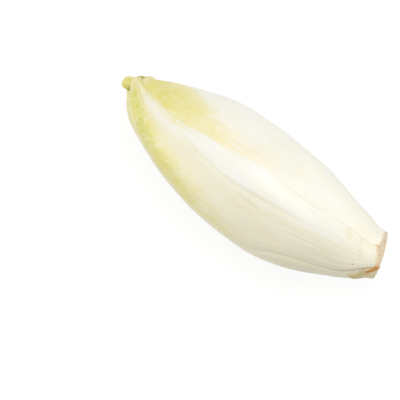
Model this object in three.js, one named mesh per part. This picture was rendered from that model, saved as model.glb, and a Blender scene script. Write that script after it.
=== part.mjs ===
// A head of Belgian endive (witloof chicory) lying on its side, in millimetres, +Z up.
// A short cut stump carries a conical core, and the leaves grow from the core in a spiral,
// each one closing round those inside it. The head lies along X: the cut end is at +X and
// the pointed end at -X. It rests on a narrow flat that its own weight presses in the belly.
//
// Every piece is laid out in head coordinates: s runs from the cut (0) to the tips (1),
// turn is the angle round the axis (0 is up, 90 degrees is +Y), and r is the distance out.
import * as THREE from "three";

// ---- Driving dimensions ----------------------------------------------------------------
const LENGTH = 150; // cut end to leaf tips
const SECTION_HEIGHT = 0.95; // the head's height over its width
const STUMP_RADIUS = 10.7; // radius of the trimmed end
const STUMP_TURN = 17; // degrees that the trimmed end is turned towards +Y
const STUMP_LEAN = 6; // degrees that the trimmed end looks up
const STUMP_TURN_ENDS = 0.12; // s where the turn and the lean have died away
const REST_FLAT_DEPTH = 0.7; // how far the belly is pressed flat
const GAP = 0.5; // clearance between a leaf and the one inside it

// The head's outline: radius at each s.
const ENVELOPE = curveThrough([
  [-0.03, 11.3], [0.02, 12.3], [0.05, 14.5], [0.125, 19.1], [0.25, 25.2], [0.35, 28.1],
  [0.46, 29.1], [0.58, 28.1], [0.66, 26.4], [0.74, 23.5], [0.82, 19.2], [0.9, 13.7],
  [0.95, 9.3], [0.975, 6], [0.99, 4.7], [1.01, 4.5], [1.04, 3.6],
]);

// How far the axis bows towards +Y at each s.
const BOW = curveThrough([
  [-0.03, 1.8], [0, 0.9], [0.05, -2.4], [0.15, -4.9], [0.25, -6.2], [0.39, -6.5], [0.65, -4.5],
  [0.9, -3.1], [0.95, -1.8], [0.98, 0.4], [1, 0.8], [1.04, 0.6],
]);

// The core's radius at each s, under the leaves.
const CORE_TIP = 0.4; // s where the last ring of the core is
const CORE_POINT = 0.01; // s from that ring to the point
const CORE = curveThrough([
  [0, STUMP_RADIUS], [0.02, 10], [0.045, 8], [0.1, 6.6], [0.16, 5.6], [0.26, 4],
  [0.36, 2.2], [CORE_TIP, 1.2],
]);

// A leaf's half width in degrees of turn at each s.
const HALF_WIDTH = curveThrough([
  [0, 50], [0.2, 54], [0.4, 59], [0.65, 69], [0.85, 73], [1.02, 74],
]);

// A leaf's thickness at the rib and at the margin.
const RIB_THICKNESS = curveThrough([
  [0, 1.6], [0.06, 2.6], [0.3, 2.8], [0.5, 2.6], [0.75, 1.9], [0.9, 1], [1.02, 0.7],
]);
const MARGIN_THICKNESS = curveThrough([
  [0, 1], [0.3, 0.9], [0.6, 0.8], [1.02, 0.6],
]);
const RIB_BREADTH = 0.8; // below 1, the rib's thickness carries further towards the margins
const TIP_CLOSES_FROM = 0.9; // share of a leaf's length where its margins start to meet
const FOOT_LENGTH = 0.02; // s over which a leaf's foot comes off the core
const THINNEST = 0.6; // the least that a leaf keeps over the core

// The four outer leaves, from the outermost in: the turn of the rib, where the leaf leaves the
// core (from), where its tip ends (to), and how far its foot is turned and how wide it is.
// The under leaf is the longest, and its broad tip shows past the others as a small lobe.
const OUTER_LEAVES = [
  { name: "outer_leaf_upper", turn: 57, from: 0.024, to: 0.962, footTurn: 10, footWidth: 0.86 },
  { name: "outer_leaf_front", turn: -16, from: 0.016, to: 0.99, footTurn: -10, footWidth: 0.9 },
  { name: "outer_leaf_under", turn: 172, from: 0.03, to: 1.024, footTurn: -4, footWidth: 0.76,
    tipWidth: 0.5 },
  { name: "outer_leaf_side", turn: -118, from: 0.028, to: 0.992, footTurn: 6, footWidth: 0.74 },
];
const FOOT_TURN_ENDS = 0.15; // s above the foot where that turn has died away
const FOOT_WIDENS = 0.1; // s above the foot where the leaf has its full width

// What is left of a leaf that was trimmed away: a dried sliver outside the others.
const OLD_LEAF_BASE = { name: "old_leaf_base", turn: -84, from: 0.003, to: 0.052, lift: 1.35 };
const OLD_LEAF_WIDTH = 0.3; // its width and thickness over a whole leaf's
const OLD_LEAF_THINNING = 0.4;

// The leaves inside follow each other up the core in a spiral.
const INNER_LEAF_COUNT = 17;
const GOLDEN_ANGLE = 137.5;
const INNER_FIRST = { turn: 20, from: 0.075, to: 0.955 };
const INNER_LAST = { from: 0.3, to: 0.66 };
const INNER_FOOT_WIDTH = 0.66;
const INNER_WIDENING = 0.45; // how much wider, in turn, the innermost leaf is
const HEART_THINNING = 0.35; // how much thinner the innermost leaf is

// Grid of each kind of leaf: steps across and along.
const OUTER_GRID = { across: 12, along: 20 };
const INNER_GRID = { across: 8, along: 10 };
const SLIVER_GRID = { across: 4, along: 5 };
const CORE_GRID = { sides: 24, rings: 10 };
const TIP_CROWDING = 1.25; // above 1, a leaf's rows stand closer together towards its tip
const CUT_CROWDING = 1.4; // above 1, the core's rings stand closer together towards the cut

// ---- Curves ----------------------------------------------------------------------------
// A smooth function through [position, value] points, level beyond both ends.
function curveThrough(points) {
  const slope = (i) => (points[i + 1][1] - points[i][1]) / (points[i + 1][0] - points[i][0]);
  const tangents = points.map((_, i) => {
    if (i === 0) return slope(0);
    if (i === points.length - 1) return slope(i - 1);
    const before = slope(i - 1);
    const after = slope(i);
    return before * after <= 0 ? 0 : (2 * before * after) / (before + after);
  });
  return (at) => {
    const last = points.length - 1;
    if (at <= points[0][0]) return points[0][1];
    if (at >= points[last][0]) return points[last][1];
    const i = points.findIndex((p) => p[0] > at) - 1;
    const span = points[i + 1][0] - points[i][0];
    const t = (at - points[i][0]) / span;
    return (
      points[i][1] * (1 + 2 * t) * (1 - t) ** 2 + tangents[i] * span * t * (1 - t) ** 2 +
      points[i + 1][1] * t * t * (3 - 2 * t) + tangents[i + 1] * span * t * t * (t - 1)
    );
  };
}

const { degToRad, smoothstep, lerp } = THREE.MathUtils;

// A point of the head from its head coordinates, in millimetres.
function headPoint(s, turn, r) {
  const side = r * Math.sin(turn);
  const up = SECTION_HEIGHT * r * Math.cos(turn);
  const slope = Math.tan(degToRad(STUMP_TURN)) * side + Math.tan(degToRad(STUMP_LEAN)) * up;
  const shear = slope * (1 - smoothstep(s, 0, STUMP_TURN_ENDS));
  return new THREE.Vector3(LENGTH * (0.5 - s) - shear, BOW(s) + side, up);
}

// ---- The space that is taken already ---------------------------------------------------
// A grid over s and turn holding how deep under the outline the leaves so far reach.
const FIELD = { rows: 121, columns: 144, from: -0.03, to: 1.05 };
const FIELD_STEP = (FIELD.to - FIELD.from) / (FIELD.rows - 1);
const COLUMN_TURN = (2 * Math.PI) / FIELD.columns;
const DENT_REACH = { rows: 3, columns: 4 }; // how far past a margin the leaf under it stays down
const DENT_SOFTNESS = { rows: 2, columns: 2 }; // and over how much it comes up again
const rowAt = (row) => FIELD.from + row * FIELD_STEP;

const newField = () =>
  Array.from({ length: FIELD.rows }, () => new Float64Array(FIELD.columns));

// The field read between its grid points.
function readField(field, s, turn) {
  const row = THREE.MathUtils.clamp((s - FIELD.from) / FIELD_STEP, 0, FIELD.rows - 1.001);
  const column = THREE.MathUtils.euclideanModulo(turn / COLUMN_TURN, FIELD.columns);
  const [r0, c0] = [Math.floor(row), Math.floor(column)];
  const c1 = (c0 + 1) % FIELD.columns;
  return lerp(
    lerp(field[r0][c0], field[r0][c1], column - c0),
    lerp(field[r0 + 1][c0], field[r0 + 1][c1], column - c0),
    row - r0,
  );
}

// Each value replaced by combine() of those within reach, first along and then round.
function filterField(field, reach, combine) {
  const along = field.map((line, row) => {
    const near = field.slice(Math.max(row - reach.rows, 0), row + reach.rows + 1);
    return line.map((_, column) => combine(near.map((l) => l[column])));
  });
  return along.map((line) =>
    line.map((_, column) => {
      const near = [];
      for (let c = column - reach.columns; c <= column + reach.columns; c++)
        near.push(line[(c + FIELD.columns) % FIELD.columns]);
      return combine(near);
    }),
  );
}

const most = (values) => Math.max(...values);
const mean = (values) => values.reduce((a, b) => a + b) / values.length;

// ---- One leaf --------------------------------------------------------------------------
// Turn of the middle of the leaf at s, in radians.
function midTurn(leaf, s) {
  const footShare = 1 - smoothstep(s, leaf.from, leaf.from + FOOT_TURN_ENDS);
  return degToRad(leaf.turn + leaf.footTurn * footShare);
}

// Half width in radians at s. The margins meet in a rounded point.
function halfWidth(leaf, s) {
  const along = (s - leaf.from) / (leaf.to - leaf.from);
  const closing = Math.max(along - TIP_CLOSES_FROM, 0) / (1 - TIP_CLOSES_FROM);
  const narrowing = Math.max(Math.sqrt(Math.max(1 - closing ** 2, 0)), leaf.tipWidth);
  const foot = lerp(leaf.footWidth, 1, smoothstep(s, leaf.from, leaf.from + FOOT_WIDENS));
  const width = HALF_WIDTH(s) * foot * leaf.widening;
  return degToRad(width) * narrowing;
}

function leafThickness(leaf, s, across) {
  const bulge = (1 - across * across) ** RIB_BREADTH;
  const margin = MARGIN_THICKNESS(s);
  return leaf.thinning * (margin + (RIB_THICKNESS(s) - margin) * bulge);
}

// Outer and inner radius of a leaf at s, and at across from one margin (-1) to the other (1).
function leafRadii(leaf, taken, s, across) {
  const turn = midTurn(leaf, s) + across * halfWidth(leaf, s);
  const core = CORE(s) + GAP;
  const outer = Math.max(ENVELOPE(s) + leaf.lift - readField(taken, s, turn), core + THINNEST);
  return { outer, inner: Math.max(outer - leafThickness(leaf, s, across), core) };
}

// The rows of a leaf's grid: its foot, where it leaves the core, and on towards the tip.
function leafRows(leaf) {
  const freeFrom = leaf.from + FOOT_LENGTH;
  const steps = leaf.grid.along - 1;
  const free = Array.from({ length: leaf.grid.along }, (_, j) =>
    lerp(freeFrom, leaf.to, 1 - (1 - j / steps) ** TIP_CROWDING));
  return [leaf.from, ...free];
}

// The leaf as one closed shell: an outer and an inner grid, joined all round.
function leafGeometry(leaf, taken) {
  const { across, along } = leaf.grid;
  const positions = [];
  const index = [];
  const quad = (a, b, c, d) => index.push(a, b, c, a, c, d);
  const [outer, inner] = ["outer", "inner"].map((side) =>
    leafRows(leaf).map((s, j) =>
      Array.from({ length: across + 1 }, (_, i) => {
        const u = (2 * i) / across - 1;
        const turn = midTurn(leaf, s) + u * halfWidth(leaf, s);
        const onCore = j === 0 && side === "inner";
        const r = onCore ? CORE(s) + GAP : leafRadii(leaf, taken, s, u)[side];
        const point = headPoint(s, turn, r);
        positions.push(point.x, point.y, point.z);
        return positions.length / 3 - 1;
      }),
    ),
  );
  for (let j = 0; j < along; j++) {
    for (let i = 0; i < across; i++) {
      quad(outer[j][i], outer[j][i + 1], outer[j + 1][i + 1], outer[j + 1][i]);
      quad(inner[j][i], inner[j + 1][i], inner[j + 1][i + 1], inner[j][i + 1]);
    }
    quad(outer[j][0], outer[j + 1][0], inner[j + 1][0], inner[j][0]);
    quad(outer[j][across], inner[j][across], inner[j + 1][across], outer[j + 1][across]);
  }
  for (let i = 0; i < across; i++) {
    quad(outer[0][i], inner[0][i], inner[0][i + 1], outer[0][i + 1]);
    quad(outer[along][i], outer[along][i + 1], inner[along][i + 1], inner[along][i]);
  }
  return indexedGeometry(positions, index);
}

// Marks the leaf, and the gap inside it, as taken.
function takeSpace(field, taken, leaf) {
  for (let row = 0; row < FIELD.rows; row++) {
    const s = rowAt(row);
    if (s < leaf.from - FIELD_STEP || s > leaf.to + FIELD_STEP) continue;
    const reach = halfWidth(leaf, THREE.MathUtils.clamp(s, leaf.from, leaf.to));
    for (let column = 0; column < FIELD.columns; column++) {
      const off = column * COLUMN_TURN - midTurn(leaf, s);
      const round = THREE.MathUtils.euclideanModulo(off + Math.PI, 2 * Math.PI) - Math.PI;
      if (Math.abs(round) > reach + COLUMN_TURN) continue;
      const across = THREE.MathUtils.clamp(round / reach, -1, 1);
      const inner = leafRadii(leaf, taken, s, across).inner;
      field[row][column] = Math.max(field[row][column], ENVELOPE(s) - inner + GAP);
    }
  }
}

// ---- The core with its cut stump -------------------------------------------------------
function coreGeometry() {
  const { sides, rings } = CORE_GRID;
  const positions = [];
  const index = [];
  const push = (p) => {
    positions.push(p.x, p.y, p.z);
    return positions.length / 3 - 1;
  };
  const loops = Array.from({ length: rings + 1 }, (_, j) => {
    const s = CORE_TIP * (j / rings) ** CUT_CROWDING;
    return Array.from({ length: sides }, (_, i) =>
      push(headPoint(s, (2 * Math.PI * i) / sides, CORE(s))));
  });
  const cutCentre = push(headPoint(0, 0, 0));
  const tip = push(headPoint(CORE_TIP + CORE_POINT, 0, 0));
  for (let i = 0; i < sides; i++) {
    const next = (i + 1) % sides;
    for (let j = 0; j < rings; j++) {
      index.push(loops[j][i], loops[j + 1][next], loops[j + 1][i]);
      index.push(loops[j][i], loops[j][next], loops[j + 1][next]);
    }
    index.push(cutCentre, loops[0][next], loops[0][i]);
    index.push(tip, loops[rings][i], loops[rings][next]);
  }
  return indexedGeometry(positions, index);
}

function indexedGeometry(positions, index) {
  const geometry = new THREE.BufferGeometry();
  geometry.setAttribute("position", new THREE.Float32BufferAttribute(positions, 3));
  geometry.setIndex(index);
  return geometry;
}

// ---- Assembly --------------------------------------------------------------------------
const COLOURS = { core: 0xf3ead6, outer: 0xf4f1dc, inner: 0xf2eec0, dried: 0xb08a5a };
const WAXY = { roughness: 0.45, metalness: 0 };
// What a leaf has unless it says otherwise; tipWidth is the share of its width at the very tip.
const WHOLE = {
  widening: 1, thinning: 1, lift: 0, footTurn: 0, footWidth: INNER_FOOT_WIDTH, tipWidth: 0.1,
};

function innerLeaf(k) {
  const depth = k / (INNER_LEAF_COUNT - 1);
  return {
    ...WHOLE,
    name: `inner_leaf_${String(k + 1).padStart(2, "0")}`,
    turn: INNER_FIRST.turn + GOLDEN_ANGLE * k,
    from: lerp(INNER_FIRST.from, INNER_LAST.from, depth),
    to: lerp(INNER_FIRST.to, INNER_LAST.to, depth),
    widening: 1 + INNER_WIDENING * depth,
    thinning: 1 - HEART_THINNING * depth,
    grid: INNER_GRID,
    colour: COLOURS.inner,
  };
}

const head = new THREE.Group();
head.name = "belgian_endive";

function addPiece(name, geometry, colour) {
  const mesh = new THREE.Mesh(geometry, new THREE.MeshStandardMaterial({ color: colour, ...WAXY }));
  mesh.name = name;
  head.add(mesh);
}

addPiece("core", coreGeometry(), COLOURS.core);

const oldLeaf = {
  ...WHOLE,
  ...OLD_LEAF_BASE,
  footWidth: 1,
  widening: OLD_LEAF_WIDTH,
  thinning: OLD_LEAF_THINNING,
  grid: SLIVER_GRID,
};
addPiece(oldLeaf.name, leafGeometry(oldLeaf, newField()), COLOURS.dried);

const leaves = [
  ...OUTER_LEAVES.map((leaf) => ({ ...WHOLE, ...leaf, grid: OUTER_GRID, colour: COLOURS.outer })),
  ...Array.from({ length: INNER_LEAF_COUNT }, (_, k) => innerLeaf(k)),
];
const depths = newField();
for (const leaf of leaves) {
  const dented = filterField(depths, DENT_REACH, most);
  const taken = filterField(dented, DENT_SOFTNESS, mean);
  addPiece(leaf.name, leafGeometry(leaf, taken), leaf.colour);
  takeSpace(depths, taken, leaf);
}

// The belly is pressed flat where it lies, and the head stands on that flat at z = 0.
const box = new THREE.Box3().setFromObject(head);
const floor = box.min.z + REST_FLAT_DEPTH;
const shift = new THREE.Vector3(-(box.min.x + box.max.x) / 2, -(box.min.y + box.max.y) / 2, -floor);
for (const mesh of head.children) {
  const places = mesh.geometry.attributes.position;
  for (let i = 0; i < places.count; i++) {
    if (places.getZ(i) < floor) places.setZ(i, floor);
  }
  mesh.geometry.translate(shift.x, shift.y, shift.z);
}

export default head;
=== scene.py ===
# %% [markdown]
# # A head of Belgian endive
#
# This lesson dresses one head of Belgian endive, also called witloof chicory. The packed model
# already holds its pieces at their real size: a core with a cut stump, four outer leaves, the
# leaves rolled up inside and one dried sliver. Here each of them gets its fine surface, its
# veins and its colours, and then a camera, a floor and soft lamps.
#
# The first cell loads that model as a fixed frame. Everything below is placed from it.

# %% Load the frame
import math

import bpy
import numpy as np
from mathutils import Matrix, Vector


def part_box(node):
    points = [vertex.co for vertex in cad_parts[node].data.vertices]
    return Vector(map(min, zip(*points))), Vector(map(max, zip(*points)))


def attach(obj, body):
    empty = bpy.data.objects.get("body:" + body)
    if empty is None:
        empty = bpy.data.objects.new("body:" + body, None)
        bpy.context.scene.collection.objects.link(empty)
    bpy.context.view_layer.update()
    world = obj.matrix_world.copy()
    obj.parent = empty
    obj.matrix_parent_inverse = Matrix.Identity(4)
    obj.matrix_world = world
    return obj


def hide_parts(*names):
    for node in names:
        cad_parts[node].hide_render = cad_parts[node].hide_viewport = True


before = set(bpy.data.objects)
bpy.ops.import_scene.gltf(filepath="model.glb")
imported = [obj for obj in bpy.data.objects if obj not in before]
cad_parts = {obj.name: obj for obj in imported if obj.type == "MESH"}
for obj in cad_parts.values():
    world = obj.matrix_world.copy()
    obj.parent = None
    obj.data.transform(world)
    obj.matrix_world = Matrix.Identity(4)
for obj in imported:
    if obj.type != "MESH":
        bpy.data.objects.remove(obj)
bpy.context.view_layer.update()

# %% [markdown]
# ## Smooth rules
#
# A grown thing has no straight edges, so almost every size here is a smooth rule. Three kinds
# are enough: a curve through a few points, a step that rises softly from 0 to 1, and a bell
# that is 1 in one place and dies away round it. Splines could be drawn by hand instead, but
# short lists of points keep every number in sight, and numpy reads a whole grid of them at once.

# %% Curves
def curve(points):
    """A smooth function through (position, value) points, level beyond both ends."""
    x, y = np.array(points, float).T
    slope = np.diff(y) / np.diff(x)
    before, after = slope[:-1], slope[1:]
    same_way = before * after > 0
    middle = np.where(same_way, 2 * before * after / np.where(same_way, before + after, 1), 0)
    tangent = np.concatenate([slope[:1], middle, slope[-1:]])

    def at(place):
        place = np.clip(place, x[0], x[-1])
        i = np.clip(np.searchsorted(x, place, side="right") - 1, 0, len(x) - 2)
        span = x[i + 1] - x[i]
        t = (place - x[i]) / span
        rise = y[i] * (1 + 2 * t) * (1 - t) ** 2 + y[i + 1] * t * t * (3 - 2 * t)
        leaving = tangent[i] * span * t * (1 - t) ** 2
        return rise + leaving + tangent[i + 1] * span * t * t * (t - 1)

    return at


def level(value):
    """A curve that has the same value everywhere."""
    return curve([(0, value), (1, value)])


print("a curve from 1 through 5 to 6, at both quarters:",
      curve([(0, 1), (0.5, 5), (1, 6)])(np.array([0.25, 0.75])).round(2))

# %% Steps and bells
def smoothstep(low, high, value):
    """0 up to low, 1 from high on and smooth in between; low may be above high."""
    t = np.clip((value - low) / (high - low), 0, 1)
    return t * t * (3 - 2 * t)


def bell(value, centre, reach):
    """1 at the centre, about a third at one reach from it and almost 0 at two."""
    return np.exp(-(((value - centre) / reach) ** 2))


print("a step from 0 to 10, at 2:", round(smoothstep(0, 10, 2.0), 3),
      " a bell, one reach out:", round(bell(1, 0, 1), 3))

# %% [markdown]
# ## Head coordinates
#
# A head is easiest to describe from its own axis. `s` runs from the cut (0) to the tips (1),
# `turn` is the angle round the axis (0 is up, 90 degrees is +Y), and `r` is the distance out.
# One curve says how thick the head is all along, one how its axis bows to the side and one how
# thick the core is under the leaves. The stump was cut a little askew, so it has a turn and a
# lean of its own, and on one side the knife left a lip. Plain x, y and z would do as well, but
# then each leaf would have to follow the head's taper and bow in rules of its own.

# %% The head's outline, in millimetres
LENGTH = 150.0
SECTION_HEIGHT = 0.95  # the head's height over its width
STUMP_RADIUS = 10.7
STUMP_TURN = math.radians(17)  # how far the cut end is turned towards +Y
STUMP_LEAN = math.radians(6)  # how far the cut face looks up
STUMP_TURN_ENDS = 0.12  # s where the turn and the lean have died away
LIP = 2.2  # how far the rim stands out on its lower front side
LIP_TURN, LIP_REACH = math.radians(-42), math.radians(28)

ENVELOPE = curve([
    (-0.03, 11.3), (0.02, 12.3), (0.05, 14.5), (0.125, 19.1), (0.25, 25.2), (0.35, 28.1),
    (0.46, 29.1), (0.58, 28.1), (0.66, 26.4), (0.74, 23.5), (0.82, 19.2), (0.9, 13.7),
    (0.95, 9.3), (0.975, 6), (0.99, 4.7), (1.01, 4.5), (1.04, 3.6),
])
BOW = curve([
    (-0.03, 1.8), (0, 0.9), (0.05, -2.4), (0.15, -4.9), (0.25, -6.2), (0.39, -6.5), (0.65, -4.5),
    (0.9, -3.1), (0.95, -1.8), (0.98, 0.4), (1, 0.8), (1.04, 0.6),
])
CORE = curve([
    (0, STUMP_RADIUS), (0.02, 10), (0.045, 8), (0.1, 6.6), (0.16, 5.6), (0.26, 4),
    (0.36, 2.2), (0.4, 1.2),
])
print("widest:", round(2 * ENVELOPE(np.linspace(0, 1, 101)).max(), 1), "mm across")

# %% [markdown]
# ## From head coordinates to points
#
# A real head is never quite round: each leaf swells where it had room to grow. A few slow sine
# waves along and round the head give such low bumps and hollows. Each leaf could be displaced by
# a noise of its own instead, but then the leaves would cut through each other. These waves belong
# to the head, so all its leaves follow them and still lie snugly.

# %% Points of the head
def swell(s, turn):
    """Low bumps and hollows of a grown head, in millimetres, that all its leaves share."""
    fades = smoothstep(0.02, 0.2, s) * (1 - smoothstep(0.85, 1.0, s))
    # Whole numbers of waves round the head meet themselves again after a full turn.
    bumps = 0.30 * np.sin(3 * turn + 0.8 + 4 * s) + 0.22 * np.sin(5 * turn - 1.1 - 7 * s)
    waves = 0.20 * np.sin(2 * turn + 19 * s) + 0.12 * np.sin(turn - 31 * s + 2)
    return fades * (bumps + waves)


def head_point(s, turn, r, lip=LIP):
    """Points of the head from head coordinates, in millimetres, before they are set down."""
    grown = r + swell(s, turn) * smoothstep(2.0, 8.0, r)
    side = grown * np.sin(turn)
    up = SECTION_HEIGHT * grown * np.cos(turn)
    slope = math.tan(STUMP_TURN) * side + math.tan(STUMP_LEAN) * up
    stands_out = lip * bell(turn, LIP_TURN, LIP_REACH) * smoothstep(5, 10, r)
    near_cut = 1 - smoothstep(0, STUMP_TURN_ENDS, s)
    return np.stack([
        LENGTH * (0.5 - s) + (stands_out - slope) * near_cut, BOW(s) + side, up,
    ], axis=-1)


print("the axis at the tips:", head_point(1.0, 0.0, 0.0).round(2), "mm")

# %% [markdown]
# ## Setting the head down
#
# The packed model already lies where it should, with its belly on the floor. The rim of the cut
# is the core's widest ring in that model and in the rule above, so the core's box says how far
# the rule has to be shifted. Typing the shift in would work until the model is packed anew.

# %% Where the head stands in the frame
MILLIMETRE = 0.001
RIM_CORNERS = 24
rim = head_point(0.0, np.arange(RIM_CORNERS) * 2 * math.pi / RIM_CORNERS, STUMP_RADIUS, lip=0)
SET_DOWN = np.array(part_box("core")[1]) / MILLIMETRE - rim.max(axis=0)


def row_metres(points_mm):
    """Head millimetres to metres in the row's frame."""
    return (points_mm + SET_DOWN) * MILLIMETRE


def press_on_floor(points_m):
    """The belly is pressed flat where the head lies on it."""
    points_m[:, 2] = np.maximum(points_m[:, 2], 0)
    return points_m


print("the head's axis is shifted by", SET_DOWN.round(2), "mm")

# %% [markdown]
# ## How the leaves lie on each other
#
# Each leaf closes round those inside it, and a leaf sinks wherever another one lies on top.
# A cloth solver could press them together, but it would be slow, and each small change would
# move every leaf. A depth map does it by rule: a grid over `s` and `turn` holds how deep the
# leaves so far reach under the outline. The next leaf reads that map, softened a little so that
# it stays down just past the margin above it, and then adds its own thickness to it.

# %% The depth map
ROWS, COLUMNS = 361, 360
S_GRID = np.linspace(-0.03, 1.05, ROWS)
TURN_GRID = np.arange(COLUMNS) * 2 * math.pi / COLUMNS
GAP = 0.04  # millimetres between a leaf and the one inside it
DENT_REACH = (1, 1)  # grid steps by which a leaf's space is widened all round
DENT_SOFTNESS = (4, 4)  # grid steps over which the leaf below comes up beside it


def spread(field, steps, combine):
    """Each value combined with its neighbours, first along the head and then round it."""
    rows, columns = steps
    padded = np.pad(field, ((rows, rows), (0, 0)), mode="edge")
    along = combine([padded[k : k + ROWS] for k in range(2 * rows + 1)], axis=0)
    return combine([np.roll(along, k, axis=1) for k in range(-columns, columns + 1)], axis=0)


def softened(field):
    """The space taken so far, with its steps made into slopes outside it."""
    widened = spread(field, DENT_REACH, np.max)
    slopes = spread(spread(field, DENT_SOFTNESS, np.mean), DENT_SOFTNESS, np.mean)
    return np.maximum(widened, slopes)


print("depth map:", ROWS, "rows along the head,", COLUMNS, "columns round it")

# %% Reading the map between its grid points
def read_map(field, s, turn):
    """The map's value at each (s, turn), mixed from the four grid points round it."""
    row = np.clip((s - S_GRID[0]) / (S_GRID[1] - S_GRID[0]), 0, ROWS - 1.001)
    column = np.mod(turn / (2 * math.pi) * COLUMNS, COLUMNS)
    r0, c0 = row.astype(int), column.astype(int) % COLUMNS
    c1 = (c0 + 1) % COLUMNS
    fr, fc = row - r0, column - np.floor(column)
    low = field[r0, c0] * (1 - fc) + field[r0, c1] * fc  # the grid row before the point
    high = field[r0 + 1, c0] * (1 - fc) + field[r0 + 1, c1] * fc  # and the one after it
    return low * (1 - fr) + high * fr


step_in_map = np.where(TURN_GRID < math.pi, 1.0, 0.0) + np.zeros((ROWS, 1))
print("beside a step of 1 mm the leaf below is down by",
      read_map(softened(step_in_map), np.array(0.5), np.array(math.pi + 0.05)).round(2), "mm")

# %% [markdown]
# ## The shape of one leaf
#
# Seen from its own rib, an endive leaf is a long spoon: a thick white rib up the middle, thin
# blades to both sides, and a rounded point where the margins meet. `across` runs from one
# margin (-1) to the other (1). Bending a flat sheet round the head would crumple it, so each
# leaf is laid out on the head from the start: its rib has a turn, and its margins are so many
# degrees away from it.

# %% How wide a leaf is
HALF_WIDTH = curve([(0, 50), (0.2, 54), (0.4, 59), (0.65, 69), (0.85, 73), (1.02, 74)])
FOOT_TURN_ENDS = 0.15  # s over which a leaf's foot turns into its own place
FOOT_WIDENS = 0.1  # s over which a foot widens to the leaf's full width
TURN_OVER = 0.12  # s before its tip over which a leaf leans to one side


def mid_turn(leaf, s):
    """Where the leaf's rib is, in radians round the head."""
    foot = 1 - smoothstep(leaf["from"], leaf["from"] + FOOT_TURN_ENDS, s)
    tip = smoothstep(leaf["to"] - TURN_OVER, leaf["to"], s)
    return np.radians(leaf["turn"] + leaf["foot_turn"] * foot + leaf["tip_turn"] * tip)


print("half a leaf is", HALF_WIDTH(0.1).round(), "degrees wide low down and",
      HALF_WIDTH(0.9).round(), "near its tip")

# %% Its margins
def side_of(across):
    """Left of the rib is -1, right of it is 1."""
    return np.where(across < 0, -1, 1)


def half_width(leaf, s, side):
    """How far round the head the leaf reaches, to its left (-1) or right (1), in radians."""
    widens = smoothstep(leaf["from"], leaf["from"] + FOOT_WIDENS, s)
    foot = leaf["foot_width"] + (1 - leaf["foot_width"]) * widens
    width = np.radians(HALF_WIDTH(s) * foot * leaf["widening"]) + 0 * side
    for own_side, margin in ((-1, leaf["left"]), (1, leaf["right"])):
        if margin is not None:
            drawn = np.abs(np.radians(margin(s)) - mid_turn(leaf, s))
            width = np.where(side == own_side, drawn, width)
    along = (s - leaf["from"]) / (leaf["to"] - leaf["from"])
    closing = np.clip((along - leaf["closes_from"]) / (1 - leaf["closes_from"]), 0, 1)
    return width * (leaf["tip_width"] + (1 - leaf["tip_width"]) * np.sqrt(1 - closing**2))


def leaf_turn(leaf, s, across):
    """The turn of the points that are a share `across` of the way to a margin."""
    return mid_turn(leaf, s) + across * half_width(leaf, s, side_of(across))


print("sides of a leaf:", side_of(np.array([-0.5, 0.5])))

# %% [markdown]
# ## Thickness and margin
#
# The rib is thick and full of water, and the blades thin out to the margins. Over the last
# millimetres a margin dips onto the leaf below and is rounded off, so that it catches the light
# as a real one does. A leaf starts on the core and comes up from it over its foot, and an inner
# leaf closes over those inside it like a bud. Blender's Solidify could give a thickness too,
# but only the same one all over.

# %% The outer face
THINNEST = 0.3  # millimetres that a leaf keeps over the core at least


def skin_of(leaf, taken, s, turn):
    """The outer face's radius before its margin dips, and the core's radius under it."""
    core = CORE(s) + GAP
    foot = 1 - smoothstep(leaf["from"], leaf["from"] + leaf["foot_rises"], s)
    skin = ENVELOPE(s) - read_map(taken, s, turn)
    skin = skin + leaf["form"](s, np.degrees(turn))
    outer = np.maximum(skin, core + THINNEST)
    return outer + (core + THINNEST - outer) * foot**2, core


print("over the core a leaf keeps", THINNEST, "mm")

# %% How thick a leaf is
RIB_THICKNESS = curve([
    (0, 1.6), (0.06, 2.6), (0.3, 2.8), (0.5, 2.6), (0.75, 1.9), (0.9, 1), (1.02, 0.7),
])
MARGIN_THICKNESS = curve([(0, 0.35), (0.12, 0.42), (0.3, 0.55), (0.6, 0.55), (1.02, 0.5)])
RIB_BREADTH = 0.8  # below 1, the rib's thickness carries further towards the margins
EDGE_DIP_WIDTH = 5.0  # millimetres over which a margin bends down


def thickness(leaf, s, across, from_edge):
    """Thick at the rib, thin at the margins and rounded off over the last of them."""
    margin = MARGIN_THICKNESS(s)
    ribbed = margin + (RIB_THICKNESS(s) - margin) * (1 - across**2) ** RIB_BREADTH
    thick = leaf["thinning"] * ribbed
    inward = np.clip(1 - from_edge / leaf["edge_rounding"](s), 0, 1)
    power, least = leaf["edge_power"], leaf["edge_left"]
    return thick * (least + (1 - least) * (1 - inward**power) ** (1 / power))


def leaf_radii(leaf, taken, s, across):
    """Outer and inner radius of a leaf at each (s, across), in millimetres."""
    outer, core = skin_of(leaf, taken, s, leaf_turn(leaf, s, across))
    width = half_width(leaf, s, side_of(across))
    from_edge = (1 - np.abs(across)) * width * np.maximum(outer, 1)
    outer = outer - leaf["edge_dip"](s) * np.clip(1 - from_edge / EDGE_DIP_WIDTH, 0, 1) ** 2
    if leaf["bud_closes"]:
        closing = np.clip(1 - (leaf["to"] - s) / leaf["bud_closes"], 0, 1)
        outer, core = outer * np.sqrt(1 - closing**2), core * (1 - closing)
    return outer, np.maximum(outer - thickness(leaf, s, across, from_edge), core)


print("rib", RIB_THICKNESS(0.3).round(2), "mm thick, margin", MARGIN_THICKNESS(0.3).round(2), "mm")

# %% [markdown]
# ## Taking up space
#
# When a leaf is done, its inner face becomes the roof for the next one. So the depth map is
# deepened wherever the leaf lies, to its inner face and a hair's breadth more. A head could also
# be built from the core outwards, as it grows, but then its outline would be left to chance, and
# the outline is what one knows best about a head.

# %% Adding a leaf to the depth map
PAST_ENDS = 0.004  # s by which a leaf's space reaches past its foot and its tip


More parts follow.
